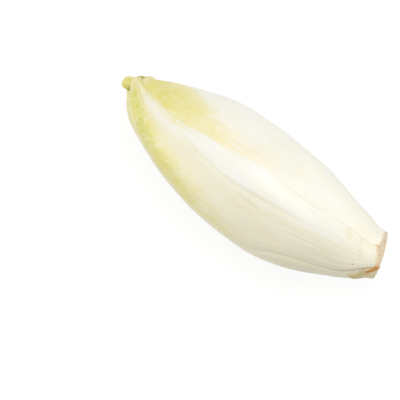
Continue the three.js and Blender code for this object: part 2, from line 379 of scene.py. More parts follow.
def take_space(depths, taken, leaf):
    """Adds the leaf and the gap inside it to the depth map."""
    rows = (S_GRID >= leaf["from"] - PAST_ENDS) & (S_GRID <= leaf["to"] + PAST_ENDS)
    s = np.clip(S_GRID[rows], leaf["from"], leaf["to"])[:, None] + np.zeros((1, COLUMNS))
    off = TURN_GRID[None, :] - mid_turn(leaf, s)
    off = np.mod(off + math.pi, 2 * math.pi) - math.pi
    reach = half_width(leaf, s, side_of(off))
    across = np.clip(off / reach, -1, 1)
    inner = leaf_radii(leaf, taken, s, across)[1]
    covered = np.abs(off) <= reach + 2 * math.pi / COLUMNS
    new = np.where(covered, ENVELOPE(s) - inner + GAP, 0)
    depths[rows] = np.maximum(depths[rows], new)


depths = np.zeros((ROWS, COLUMNS))
print("deepest before any leaf:", depths.max(), "mm")

# %% [markdown]
# ## From grid to mesh
#
# A leaf's mesh is two grids, the outer face and the inner face, sewn together round the edge
# into one closed shell. Each point also keeps a few numbers that the veins and the colours
# read later: how far it is from the rib, the foot and the margin in millimetres, whether it is
# on the outer face, and how yellow, green or brown the leaf is there. They are stored as
# attributes, which stay with the surface however it bends. Vertex groups would do so too, but
# they only hold numbers from 0 to 1.

# %% The faces of a shell
def shell_faces(along, across):
    """Quads of a closed shell of two (along + 1) x (across + 1) grids of points."""
    index = np.arange((along + 1) * (across + 1)).reshape(along + 1, across + 1)
    a, b = index[:-1, :-1], index[:-1, 1:]
    c, d = index[1:, 1:], index[1:, :-1]
    outer = np.stack([a, b, c, d], -1).reshape(-1, 4)
    other = index.size
    inner = outer[:, ::-1] + other
    rim = np.concatenate([index[:, 0][::-1], index[0, 1:], index[1:, -1], index[-1, ::-1][1:]])
    walls = np.stack([rim[1:], rim[:-1], rim[:-1] + other, rim[1:] + other], -1)
    return np.concatenate([outer, inner, walls]).tolist()


print("a shell of 2 x 3 quads has", len(shell_faces(2, 3)), "faces")

# %% Objects with numbers on their points
def in_scene(name, data):
    """A new object with the given mesh, lamp or camera, linked to the scene."""
    made = bpy.data.objects.new(name, data)
    bpy.context.scene.collection.objects.link(made)
    return made


def new_object(name, points_m, faces, attributes):
    """A smooth mesh object whose points carry the given numbers."""
    mesh = bpy.data.meshes.new(name)
    mesh.from_pydata(points_m.tolist(), [], faces)
    mesh.polygons.foreach_set("use_smooth", np.ones(len(mesh.polygons), bool))
    for key, values in attributes.items():
        mesh.attributes.new(key, "FLOAT", "POINT").data.foreach_set("value", values.ravel())
    mesh.validate()
    return in_scene(name, mesh)


# %% The leaf's grid
TIP_CROWDING = 1.25  # above 1, a leaf's rows stand closer together towards its tip
MARGIN_CROWDING = 0.45  # share by which its columns do so towards its margins


def twice(values):
    """A grid's values for both faces of a shell, the outer one first."""
    return np.concatenate([values.ravel(), values.ravel()])


def crowded(count):
    """Positions 0 to 1 that stand closer together towards 1."""
    return 1 - (1 - np.linspace(0, 1, count)) ** TIP_CROWDING


def leaf_grid(leaf, along, across):
    """The s of each row and the share of the way to a margin of each column."""
    s_line = leaf["from"] + (leaf["to"] - leaf["from"]) * crowded(along + 1)
    even = np.linspace(-1, 1, across + 1)
    at_margins = np.sin(even * math.pi / 2)  # closer together towards the margins
    u_line = (1 - MARGIN_CROWDING) * even + MARGIN_CROWDING * at_margins
    return np.meshgrid(s_line, u_line, indexing="ij")


print("five rows stand at", crowded(5).round(2))

# %% Build one leaf
STRANDS = 25  # lengthwise strands of tissue from the rib to a margin


def build_leaf(leaf, taken, along, across):
    """The leaf's mesh, under the space that is already taken."""
    s, u = leaf_grid(leaf, along, across)
    turn = leaf_turn(leaf, s, u)
    outer, inner = leaf_radii(leaf, taken, s, u)
    points = np.concatenate([head_point(s, turn, r).reshape(-1, 3) for r in (outer, inner)])
    width_mm = half_width(leaf, s, side_of(u)) * outer
    edge_mm = (1 - np.abs(u)) * width_mm
    tints = leaf_tints(leaf, s, u, turn, edge_mm)
    attributes = {key: twice(values) for key, values in tints.items()} | {
        "across_mm": twice(u * width_mm),
        "strand": twice(u * STRANDS),
        "along_mm": twice((s - leaf["from"]) * LENGTH),
        "edge_mm": twice(edge_mm),
        "outer_face": np.concatenate([np.ones(s.size), np.zeros(s.size)]),
        "veined": twice(leaf["veined"] + 0 * s),
    }
    points_m = press_on_floor(row_metres(points))
    return new_object(leaf["name"], points_m, shell_faces(along, across), attributes)


print("a leaf has", 2 * STRANDS, "strands of tissue side by side")

# %% [markdown]
# ## Where a leaf is yellow
#
# Endive is grown in the dark, so its leaves stay white but for a yellow-green zone on the
# blades towards the tip. The rib stays white nearly to the end. Two curves say how far from
# the rib the yellow starts and how strong it is, and noise in the material breaks its edge up
# later. Painting it by hand would give a nicer brush stroke once, but not on 21 leaves.

# %% Yellow, green, cream and brown zones
YELLOW_STARTS = curve([
    (0.3, 1.1), (0.54, 0.7), (0.7, 0.5), (0.78, 0.42), (0.86, 0.28), (0.95, 0.1), (1, 0),
])
YELLOW_STRENGTH = curve([(0.28, 0), (0.4, 0.35), (0.5, 0.55), (0.7, 0.85), (0.85, 1)])
YELLOW_BEFORE, YELLOW_AFTER = 0.38, 0.28  # how softly the yellow comes, in half widths


def leaf_tints(leaf, s, u, turn, edge_mm):
    """How yellow, green, peach, creamy, brown and dry the leaf is at each of its points."""
    start = leaf["yellow_starts"](s)
    yellow = smoothstep(start - YELLOW_BEFORE, start + YELLOW_AFTER, np.abs(u))
    yellow = yellow * leaf["yellow_strength"](s)
    to_tip = (leaf["to"] - s) * LENGTH
    to_foot = (s - leaf["from"]) * LENGTH
    tints = {
        "yellow": np.maximum(yellow, leaf["tip_green"] * smoothstep(0.955, 0.985, s)),
        "green": leaf["tip_green"] * smoothstep(0.94, 0.975, s),
        "peach": 0 * s,
        "cream": smoothstep(0.0, 0.6, np.abs(u)) * leaf["cream"],
        "brown": leaf["tip_brown"] * (1 - smoothstep(0.3, 1.3, to_tip)),
        "dry": leaf["foot_dry"] * (1 - smoothstep(0.5, 1.6, to_foot)),
    }
    if leaf["own_tints"]:
        leaf["own_tints"](tints, s, np.degrees(turn), edge_mm)
    return tints


def at_least(tints, name, values):
    """Raises a tint to the given values where it is below them."""
    tints[name] = np.maximum(tints[name], values)


print("at the middle of the head the yellow starts", YELLOW_STARTS(0.5).round(2), "of the way out")

# %% [markdown]
# ## Where the outer margins run
#
# The margins of the outer leaves wander: the upper leaf laps the front one in a long soft wave,
# and the front leaf's own margin swings down to the dried sliver and back under the head. Such a
# wave can't come from a leaf's width alone, so each of these margins is drawn as a curve, in
# degrees of turn along the head. The other margins lie hidden and follow the plain width.

# %% Margins of the outer leaves
UPPER_LEFT = curve([
    (0.002, 3), (0.014, -2), (0.024, -4.5), (0.035, -2.5), (0.05, 0.2), (0.075, 3),
    (0.12, 4.6), (0.161, 4), (0.213, 0.5), (0.288, -0.5), (0.379, 1), (0.457, -2),
    (0.576, -8), (0.646, -10.8), (0.692, -13), (0.75, -13.4), (0.796, -11.2), (0.829, -7),
    (0.852, -3.5), (0.874, 0.5), (0.896, 5.2), (0.918, 9.5), (0.94, 19), (0.962, 32),
])
UPPER_RIGHT = curve([
    (0.03, 104), (0.3, 120), (0.6, 126), (0.8, 118), (0.9, 112), (0.94, 106), (0.962, 98),
])
FRONT_LEFT = curve([
    (0.006, -50), (0.03, -53.5), (0.045, -59), (0.061, -68), (0.08, -75), (0.1, -77.5),
    (0.123, -76), (0.149, -74), (0.182, -71), (0.215, -71), (0.26, -74), (0.32, -83),
    (0.45, -95), (0.7, -94), (0.82, -85), (0.88, -78), (0.94, -73), (0.992, -60),
])
UNDER_LEFT = curve([(0.01, 92), (0.1, 98), (0.3, 109), (0.6, 105), (0.9, 99), (1.03, 98)])
SIDE_RIGHT = curve([
    (0.006, -34), (0.06, -40), (0.1, -46), (0.3, -44), (0.6, -42), (0.9, -40), (0.96, -30),
    (0.986, -20),
])
print("half-way up, the upper leaf spans", UPPER_LEFT(0.5).round(), "to", UPPER_RIGHT(0.5).round(),
      "degrees")

# %% [markdown]
# ## The front leaf's rib and the leaf that laps it
#
# The front leaf's white rib stands proud of its left blade, with a narrow groove along it and,
# low on the blade, one short fold. The upper leaf lies over the rib, so it bulges there too. At
# its own foot it has a crease where it leaves the collar of the stump, and its tip turns up.
# The front leaf's foot is a thick cushion of flesh with a soft crease above it. All of these are
# added to the leaf's radius in millimetres. Sculpting would do it too, but a rule also tells the
# leaves underneath to make room.

# %% The rib, and the upper leaf over it
GROOVE_TURN = curve([
    (0.05, -20), (0.25, -22), (0.4, -25), (0.53, -28), (0.62, -26), (0.76, -20), (0.9, -14),
])
RIB_STANDS = curve([(0.12, 0), (0.25, 0.25), (0.5, 0.6), (0.7, 0.6), (0.82, 0.3), (0.9, 0)])
COLLAR_CREASE, UPTURN = 0.6, 1.5  # millimetres


def no_form(s, degrees):
    """For a leaf that has no forms of its own."""
    return 0 * s


def ridge(s, degrees):
    """The front leaf's rib lifts itself and, more and more gently, the leaf that laps it."""
    beside = degrees - GROOVE_TURN(s)
    return RIB_STANDS(s) * smoothstep(-2, 3, beside) * (1 - smoothstep(0, 70, beside))


def upper_form(s, degrees):
    """Over the ridge, with a crease where the leaf leaves the collar, and an upturned end."""
    crease = COLLAR_CREASE * bell(s, 0.026, 0.007) * smoothstep(10, 40, degrees)
    upturned = UPTURN * bell(s, 0.95, 0.014) * smoothstep(45, 75, degrees)
    return ridge(s, degrees) + upturned - crease


print("the rib stands", ridge(0.5, -20.0).round(2), "mm proud of the left blade")

# %% The front leaf's foot, fold and groove
FOLD_TURN = curve([(0.28, -42.5), (0.34, -38.5), (0.4, -35), (0.46, -34), (0.53, -37)])
GROOVE_CUTS, BLADE_SINKS = 0.4, 0.45  # shares of the rib's height
FOLD_DEPTH, FOOT_CREASE, FOOT_CUSHION = 0.35, 1.1, 0.6  # millimetres


def foot_crease_s(degrees):
    """The crease over the front leaf's foot runs a little askew."""
    return 0.056 + 0.0002 * degrees


def foot_form(s, degrees):
    """A soft crease across the front leaf's foot and the thick cushion of flesh below it."""
    crease = FOOT_CREASE * bell(s, foot_crease_s(degrees), 0.0055)
    cushion = FOOT_CUSHION * bell(s, 0.03, 0.016)
    return bell(degrees, -26, 26) * (cushion - crease)


def front_form(s, degrees):
    """The rib stands proud of the left blade; the groove along it fades before the tip."""
    beside = degrees - GROOVE_TURN(s)
    narrow = GROOVE_CUTS * bell(beside, 0, 1.2) * (1 - 0.8 * smoothstep(0.64, 0.78, s))
    hollow = narrow + BLADE_SINKS * bell(beside, -14, 12)
    fold = FOLD_DEPTH * bell(degrees, FOLD_TURN(s), 1.5) * bell(s, 0.42, 0.045)
    return ridge(s, degrees) - RIB_STANDS(s) * hollow - fold + foot_form(s, degrees)


print("the foot's crease is", -foot_form(foot_crease_s(-26.0), -26.0).round(2), "mm deep")

# %% [markdown]
# ## The lobe and the room for the sliver
#
# The under leaf is the longest of the four. Its tip shows past the others as a small round lobe,
# and behind the front leaf's tip it rises and closes the head. A ball stuck on would be quicker,
# but it would have a seam, and the lobe is the leaf's own tip. Near the cut, the side leaf lies a
# little deeper, where the dried sliver covers it.

# %% Forms of the under and the side leaf
LOBE_RADIUS, LOBE_SWELLS = 3.5, 0.9  # at its front, and how much more it is at its back
UNDER_RISE = 2.3
SLIVER_ROOM = 0.8  # all of these in millimetres


def under_form(s, degrees):
    """The tip shows as a lobe past the others and rises behind the front one."""
    radius = LOBE_RADIUS + LOBE_SWELLS * smoothstep(180, 230, degrees)
    lobe = (radius - ENVELOPE(s)) * smoothstep(0.978, 0.996, s)
    rise = smoothstep(0.955, 0.967, s) * (1 - smoothstep(0.987, 1.0, s))
    rise = UNDER_RISE * rise * smoothstep(60, 90, degrees)
    return lobe + rise * (1 - smoothstep(120, 160, degrees))


def side_form(s, degrees):
    """The side leaf lies a little deeper near its foot, under the dried sliver."""
    under_sliver = (1 - smoothstep(0.045, 0.1, s)) * smoothstep(0.0, 0.02, s)
    return -SLIVER_ROOM * under_sliver * smoothstep(-130, -112, degrees)


print("the lobe changes the outline by", under_form(1.0, 200.0).round(2), "mm at the tips")

# %% [markdown]
# ## Colours that belong to one leaf
#
# The upper leaf turns yellow earliest by the margin that laps the front leaf, and has a blush of
# peach lower down, where it was pressed and bruised. The front leaf is white on its rib and green
# on the left blade near the tip. Below its groove it is creamy, partly its own ivory and partly
# painted shade of the lower blade, most of all by its lower margin. Its groove and the crease
# over its foot are tinted with painted shade too. Its dried foot is darkest beside the two
# neighbours. Masks could be painted for this, one for each leaf. Here each of them changes its
# own tints with a few bells, which stay in place if the leaf's shape changes.

# %% The upper leaf's colours
UPPER_YELLOW_STARTS = curve([
    (0.3, 1.1), (0.54, 0.8), (0.66, 0.6), (0.7, 0.47), (0.74, 0.3), (0.78, 0.1),
    (0.82, -0.05), (0.87, -0.15), (0.96, -0.2),
])
UPPER_YELLOW_STRENGTH = curve([
    (0.3, 0), (0.45, 0.18), (0.6, 0.32), (0.72, 0.5), (0.8, 0.72), (0.9, 0.95),
])
TIP_PALES, RIB_PALES = 0.4, 0.35  # shares of the yellow that the tip and the rib lose
GREEN_PATCH, FOOT_CREAM = 0.5, 0.5
BLUSH, TIP_BLUSH = 0.85, 0.8


def upper_tints(tints, s, degrees, edge_mm):
    """The upper leaf: a greener patch by its margin, peach lower down and at its very tip."""
    at_tip = smoothstep(0.915, 0.95, s)
    on_rib = smoothstep(15, 45, degrees) * (1 - smoothstep(0.84, 0.92, s))
    tints["yellow"] = tints["yellow"] * (1 - TIP_PALES * at_tip) * (1 - RIB_PALES * on_rib)
    tints["green"] = GREEN_PATCH * bell(s, 0.87, 0.055) * bell(degrees, 8, 15)
    at_least(tints, "cream", FOOT_CREAM * (1 - smoothstep(0.05, 0.22, s)))
    along = smoothstep(0.36, 0.5, s) * (1 - smoothstep(0.72, 0.85, s))
    blush = BLUSH * along * bell(degrees - UPPER_LEFT(s), 6, 12)
    tints["peach"] = np.maximum(blush, TIP_BLUSH * at_tip)


print("near its tip the upper leaf is yellow to", UPPER_YELLOW_STRENGTH(0.85).round(2))

# %% How creamy the front leaf is, and where its cream is painted shade
# Below the groove the cream is partly the blade's own ivory and partly painted shade of the lower
# blade; by the lower margin it is painted shade.
BLADE_CREAM_AND_SHADE, MID_BLADE, PAINTED_LOW_MARGIN_SHADE = 0.8, 0.15, 0.4  # creaminess, from 0 to 1
LIT_SIDE, NEAR_FOOT, NEAR_TIP = 0.06, 0.4, 0.3
GREENER_LOSES, RIB_LOSES = 0.7, 0.3  # what the greener end and the middle of the rib lose


def front_cream_and_painted_shade(s, degrees):
    """White rib; cream and painted shade below the groove; creamy at the foot and near the tip."""
    down = GROOVE_TURN(s) - degrees
    below = smoothstep(-3, 9, down) * (BLADE_CREAM_AND_SHADE + MID_BLADE * smoothstep(0.3, 0.5, s))
    # By the lower margin, low on the head, more cream stands in for painted shade.
    below = below + PAINTED_LOW_MARGIN_SHADE * smoothstep(20, 40, down) * (1 - smoothstep(0.3, 0.42, s))
    near_foot = 1 - smoothstep(0.06, 0.2, s)
    lit = LIT_SIDE + NEAR_FOOT * near_foot + NEAR_TIP * smoothstep(0.68, 0.8, s)
    white_rib = RIB_LOSES * bell(s, 0.4, 0.12) * bell(degrees, GROOVE_TURN(s) + 12, 10)
    return np.maximum(below * (1 - GREENER_LOSES * bell(s, 0.88, 0.1)), lit) - white_rib


print("cream on the rib:", front_cream_and_painted_shade(0.4, -10.0).round(2),
      " on the blade:", front_cream_and_painted_shade(0.4, -40.0).round(2))

# %% Marks on the front leaf
# Cream and a little green along the groove, and cream in the foot's crease, are painted shade.
PAINTED_GROOVE_SHADE, PAINTED_GROOVE_SHADE_GREEN, PAINTED_CREASE_SHADE = 0.8, 0.2, 0.8
GREEN_STREAKS = ((0, 0.42), (-8.5, 0.36))  # degrees from the fold, and strength
SCAR_BESIDE_UPPER, SCAR_BESIDE_SIDE = (-1, 9), (-50, 13)  # degrees of turn, and reach
BROWN_MARGIN = 0.7
DRY_BETWEEN, SCARS_ADD = 0.5, 0.4  # how dry the foot is between its scars, and on them


def front_marks(tints, s, degrees, edge_mm):
    """Painted shade in groove and foot crease, two short green streaks by the fold, dry scars."""
    # Painted shade along the groove, as cream and a little green.
    groove = bell(degrees, GROOVE_TURN(s) - 0.4, 1.3) * smoothstep(0.15, 0.35, s)
    groove = groove * (1 - smoothstep(0.64, 0.78, s))
    at_least(tints, "cream", PAINTED_GROOVE_SHADE * groove)
    at_least(tints, "green", PAINTED_GROOVE_SHADE_GREEN * groove)
    for off, strength in GREEN_STREAKS:
        streak = bell(degrees, FOLD_TURN(s) + off, 1.1) * bell(s, 0.405, 0.032)
        at_least(tints, "green", strength * streak)
    # Painted shade in the crease over the foot, as cream.
    crease = PAINTED_CREASE_SHADE * bell(s, foot_crease_s(degrees), 0.006) * bell(degrees, -26, 28)
    at_least(tints, "cream", crease)
    scars = np.maximum(bell(degrees, *SCAR_BESIDE_UPPER), bell(degrees, *SCAR_BESIDE_SIDE))
    tints["dry"] = tints["dry"] * (DRY_BETWEEN + SCARS_ADD * scars)
    margin = BROWN_MARGIN * smoothstep(0.8, 0.3, edge_mm) * (1 - smoothstep(0.09, 0.13, s))
    at_least(tints, "brown", margin)


print("green streaks by the fold:", len(GREEN_STREAKS))

# %% The front leaf's colours
FRONT_YELLOW_STARTS = curve([
    (0.26, 1.1), (0.4, 0.82), (0.54, 0.64), (0.7, 0.48), (0.78, 0.4), (0.86, 0.28), (0.95, 0.1),
])
FRONT_YELLOW_STRENGTH = curve([(0.24, 0), (0.38, 0.45), (0.5, 0.65), (0.7, 0.88), (0.85, 1)])
GREEN_BLADE = curve([
    (0.8, -60), (0.84, -58), (0.864, -55), (0.89, -43), (0.92, -27), (0.95, -20),
])
BY_UPPER_MARGIN, OWN_MARGIN_PALES, END_PALES = 0.4, 0.4, 0.6


def front_tints(tints, s, degrees, edge_mm):
    """Front leaf: cream and painted shade below its groove, green on its left blade near the tip.
    """
    tints["cream"] = front_cream_and_painted_shade(s, degrees)
    by_margin = bell(degrees - UPPER_LEFT(s), -2, 6) * smoothstep(0.66, 0.78, s)
    at_least(tints, "yellow", BY_UPPER_MARGIN * by_margin)
    tints["yellow"] = tints["yellow"] * (1 - OWN_MARGIN_PALES * smoothstep(6, 1, edge_mm))
    left = bell(degrees, GREEN_BLADE(s), 15) * smoothstep(0.5, 5, edge_mm)
    at_end = smoothstep(0.94, 0.97, s)
    tints["green"] = left * smoothstep(0.76, 0.85, s) * (1 - END_PALES * at_end)
    front_marks(tints, s, degrees, edge_mm)


print("near its tip the front leaf is yellow to", FRONT_YELLOW_STRENGTH(0.8).round(2))

# %% The under and the side leaf's colours
SIDE_YELLOW_STRENGTH = curve([(0.4, 0), (0.6, 0.3), (0.8, 0.5), (0.93, 0.6), (1, 0.9)])
LOBE_RIM, SIDE_GREEN, SIDE_YELLOW = 1.4, 0.07, 0.08


def under_tints(tints, s, degrees, edge_mm):
    """The under leaf: an olive rim round its lobe."""
    rim = smoothstep(1.1, 0.3, edge_mm) * smoothstep(0.945, 0.965, s)
    at_least(tints, "green", LOBE_RIM * rim)


def side_tints(tints, s, degrees, edge_mm):
    """The side leaf: a faint greenish cream all along."""
    tints["cream"] = 1 + 0 * s
    at_least(tints, "green", SIDE_GREEN)
    at_least(tints, "yellow", SIDE_YELLOW)


print("near its tip the side leaf is yellow to", SIDE_YELLOW_STRENGTH(0.85).round(2))

# %% [markdown]
# ## The four outer leaves
#
# Now the leaves themselves, as plain settings, from the outermost in. What a leaf doesn't say,
# it has from the defaults. Lengths are in millimetres, turns in degrees and places along the
# head in `s`:
#
# - `turn`, `from`, `to`: where its rib is, where it leaves the core and where its tip ends;
# - `foot_turn`, `foot_width`, `foot_rises`: how far its foot is turned, how wide it is, and over
#   how long it comes up from the core;
# - `tip_turn`, `closes_from`, `tip_width`: how its tip leans and how its margins meet there;
# - `edge_dip`, `edge_rounding`, `edge_power`, `edge_left`: how far a margin bends down, and how
#   it thins, in a quarter circle (power 2) or a straight wedge (power 1), to what share;
# - `left`, `right`, `form`, `own_tints`: its drawn margins, its own forms and its own colours;
# - `cream`, `veined`, `foot_dry`, `tip_brown`, `tip_green`: how strongly each of these shows;
# - `widening`, `thinning`, `bud_closes`: for the inner leaves, which close like a bud.
#
# Four functions, one for each leaf, would say the same, but a table can be read down and across.

# %% What a leaf has unless it says otherwise
LEAF_DEFAULTS = {
    "foot_turn": 0, "foot_width": 0.66, "foot_rises": 0.03, "tip_turn": 0, "closes_from": 0.9,
    "tip_width": 0.1, "widening": 1, "thinning": 1, "bud_closes": 0, "left": None, "right": None,
    "edge_dip": level(0.34), "edge_rounding": level(1.8), "edge_power": 2, "edge_left": 0.14,
    "form": no_form, "own_tints": None, "yellow_starts": YELLOW_STARTS,
    "yellow_strength": YELLOW_STRENGTH, "cream": 1, "veined": 0.8, "foot_dry": 0.6,
    "tip_brown": 0.3, "tip_green": 0,
}
print("settings with a default:", len(LEAF_DEFAULTS))

# %% The outer leaves, from the outermost in
UPPER_DIP = curve([(0, 0.02), (0.35, 0.05), (0.5, 0.1), (0.62, 0.25), (0.75, 0.34)])
UPPER_EDGE = curve([(0, 12), (0.42, 12), (0.6, 4), (0.72, 1.8)])

outer_leaves = [
    {"name": "outer_leaf_upper", "turn": 57, "from": 0.002, "to": 0.962, "foot_turn": 10,
     "foot_width": 0.86, "tip_turn": -10, "closes_from": 0.975, "tip_width": 0.5,
     "left": UPPER_LEFT, "right": UPPER_RIGHT, "form": upper_form, "edge_dip": UPPER_DIP,
     "edge_rounding": UPPER_EDGE, "edge_power": 1.1, "edge_left": 0.04, "own_tints": upper_tints,
     "foot_dry": 0.1, "tip_brown": 0.9, "veined": 0.15, "cream": 0.2,
     "yellow_starts": UPPER_YELLOW_STARTS, "yellow_strength": UPPER_YELLOW_STRENGTH},
    {"name": "outer_leaf_front", "turn": -16, "from": 0.004, "to": 0.992, "foot_turn": -10,
     "foot_width": 0.9, "foot_rises": 0.014, "tip_turn": 30, "left": FRONT_LEFT,
     "form": front_form, "own_tints": front_tints, "veined": 1, "foot_dry": 1,
     "yellow_starts": FRONT_YELLOW_STARTS, "yellow_strength": FRONT_YELLOW_STRENGTH},
    {"name": "outer_leaf_under", "turn": 172, "from": 0.01, "to": 1.026, "foot_turn": -4,
     "foot_width": 1.05, "closes_from": 0.968, "left": UNDER_LEFT, "form": under_form,
     "own_tints": under_tints, "tip_green": 1.1, "tip_brown": 0.35},
    {"name": "outer_leaf_side", "turn": -118, "from": 0.006, "to": 0.986, "foot_turn": 6,
     "foot_width": 1.05, "tip_turn": 10, "closes_from": 0.95, "right": SIDE_RIGHT,
     "form": side_form, "own_tints": side_tints, "tip_green": 0.6,
     "yellow_strength": SIDE_YELLOW_STRENGTH},
]
print("outer leaves:", [leaf["name"] for leaf in outer_leaves])

# %% [markdown]
# ## The leaves inside
#
# A plant sets each new leaf about 137.5 degrees round from the last, the golden angle, so that
# none lies straight over another. The inner leaves follow that rule up the core. Each starts
# higher, ends lower, and is thinner and wider for its place than the one outside it. They could
# be left out, as the outer leaves hide them, but then one look into the tip would find the head
# hollow. The outermost of them close the small gap between the outer tips.

# %% The inner leaves' settings
GOLDEN_ANGLE = 137.5
INNER_COUNT = sum(name.startswith("inner_leaf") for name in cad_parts)
FIRST_TURN = 20  # degrees
FIRST_TIP_TURN = 60  # the outermost inner leaf leans into the gap between the outer tips


def inner_leaf(k):
    """The settings of the inner leaf number k; the deeper it lies, the shorter it is."""
    depth = k / (INNER_COUNT - 1)
    return {
        "name": f"inner_leaf_{k + 1:02d}",
        "turn": FIRST_TURN + GOLDEN_ANGLE * k,
        "from": 0.075 + 0.225 * depth,
        "to": 0.993 - 0.33 * depth**1.4,
        "widening": 1 + 0.45 * depth,
        "thinning": 1 - 0.35 * depth,
        "tip_turn": FIRST_TIP_TURN if k == 0 else 0,
        "bud_closes": 0.035,
        "closes_from": 0.985,
        "tip_width": 0.7,
    }


leaves = outer_leaves + [inner_leaf(k) for k in range(INNER_COUNT)]
print("the innermost leaf reaches from", round(leaves[-1]["from"], 3),
      "to", round(leaves[-1]["to"], 3))

# %% Build every leaf, from the outermost in
OUTER_STEPS = (240, 116)  # faces along and across a leaf
INNER_STEPS = (44, 26)

leaf_pieces = {}
for settings in leaves:
    leaf = LEAF_DEFAULTS | settings
    taken = softened(depths)
    steps = OUTER_STEPS if leaf["name"].startswith("outer") else INNER_STEPS
    leaf_pieces[leaf["name"]] = build_leaf(leaf, taken, *steps)
    take_space(depths, taken, leaf)
print("leaves:", len(leaf_pieces), "reaching", depths.max().round(1), "mm under the outline")

# %% [markdown]
# ## Nodes that read like formulas
#
# The fine veins, the streaks and the colours are patterns, and Blender makes patterns with trees
# of nodes. Dozens of math nodes are hard to follow, so a `Wire` stands for a number that flows
# through a tree: `a * 2 + b` on wires adds the two math nodes. It works the same in a geometry
# tree and in a material, because both know the noise, Voronoi and math nodes. The nodes could be
# joined by hand in the editor, but nobody could read the rule from the tangle afterwards.

# %% Wires
class Wire:
    """A number in a node tree; +, -, * and / on it add math nodes."""

    def __init__(self, socket):
        self.socket = socket
        self.tree = socket.id_data

    def math(self, operation, *others):
        node = add_node(self.tree, "ShaderNodeMath", operation=operation)
        for value, socket in zip((self, *others), node.inputs):
            plug(value, socket)
        return Wire(node.outputs[0])

    def __add__(self, other):
        return self.math("ADD", other)

    def __sub__(self, other):
        return self.math("SUBTRACT", other)

    def __mul__(self, other):
        return self.math("MULTIPLY", other)

    def __truediv__(self, other):
        return self.math("DIVIDE", other)

    def __abs__(self):
        return self.math("ABSOLUTE")

    def at_least(self, other):
        return self.math("MAXIMUM", other)

    def kept_in_range(self):
        """Keeps what the last math node gives between 0 and 1."""
        self.socket.node.use_clamp = True
        return self


print("a wire can do", sum(callable(part) for part in vars(Wire).values()) - 1, "things")

# %% Nodes with their inputs filled
def plug(value, socket):
    """Links a wire to a socket, or sets the socket to a plain value."""
    if isinstance(value, Wire):
        value.tree.links.new(value.socket, socket)
    else:
        socket.default_value = value


def fill(node, inputs):
    """Plugs a value or a wire into each of the named inputs."""
    for key, value in inputs.items():
        plug(value, node.inputs[key])
    return node


def add_node(tree, kind, inputs=None, **settings):
    """A new node with its settings made and its inputs filled."""
    node = tree.nodes.new(kind)
    for name, value in settings.items():
        setattr(node, name, value)
    return fill(node, inputs or {})


trial = bpy.data.node_groups.new("trial", "ShaderNodeTree")
last = (Wire(add_node(trial, "ShaderNodeValue").outputs[0]) * 2.0 + 1.0).socket.node
print("a value * 2 + 1 took", len(trial.nodes) - 1, "math nodes; the last is", last.operation)
bpy.data.node_groups.remove(trial)

# %% Vectors and noise
def vector(x, y, z=0.0):
    """Three numbers as one place."""
    node = add_node(x.tree, "ShaderNodeCombineXYZ", {"X": x, "Y": y, "Z": z})
    return Wire(node.outputs[0])


def noise(place, scale=1.0, detail=2.0, roughness=0.5, distortion=0.0):
    """Blender's noise at a place, mostly between 0.3 and 0.7."""
    node = add_node(place.tree, "ShaderNodeTexNoise", {
        "Vector": place, "Scale": scale, "Detail": detail, "Roughness": roughness,
        "Distortion": distortion,
    })
    return Wire(node.outputs[0])


def noise_over(across, along, per_mm, layer, **look):
    """Noise over a surface: how fast it changes both ways, and which layer of it is read."""
    return noise(vector(across * per_mm[0], along * per_mm[1], layer), **look)


print("helpers that place noise:", [helper.__name__ for helper in (vector, noise, noise_over)])

# %% Ramps and stored numbers
def ramp(value, low, high):
    """0 at low, 1 at high and smooth in between; low may be above high."""
    node = add_node(value.tree, "ShaderNodeMapRange", {
        "Value": value, "From Min": min(low, high), "From Max": max(low, high),
        "To Min": 1.0 if low > high else 0.0, "To Max": 0.0 if low > high else 1.0,
    }, interpolation_type="SMOOTHSTEP")
    return Wire(node.outputs[0])


def stored(tree, name):
    """A number stored on the mesh, in a geometry tree or in a material."""
    if tree.bl_idname == "GeometryNodeTree":
        node = add_node(tree, "GeometryNodeInputNamedAttribute", {"Name": name}, data_type="FLOAT")
        return Wire(node.outputs["Attribute"])
    return Wire(add_node(tree, "ShaderNodeAttribute", attribute_name=name).outputs["Fac"])


print("helpers that shape and read numbers:", [helper.__name__ for helper in (ramp, stored)])

# %% [markdown]
# ## Veins, for the shape and for the colour
#
# Side veins leave an endive's rib at a slant, run towards the margin and join in a loose net.
# They are slightly raised and paler than the blade. The same rule serves twice: geometry nodes
# lift the surface along it, and the material lightens it, so that the pale lines lie on the
# raised ones. A painted texture would have to be matched to the relief by hand.

# %% The vein rule
VEIN_SLANT = 0.55  # how far a side vein climbs towards the tip for each millimetre outwards
VEIN_SPACING = 5.0  # millimetres between side veins
VEIN_WANDER = 2.6  # how far a side vein strays, in spacings
NET_SIZE = 2.4  # millimetres across a mesh of the net between them
NET_STRETCH = 1.3  # how much wider than long a mesh is
NET_STRENGTH = 0.3  # of a thread of the net, against a side vein
PATCHES = 0.75  # how much the whole pattern comes and goes
VEIN_HALF, THREAD_HALF = 0.24, 0.22  # in spacings and in meshes


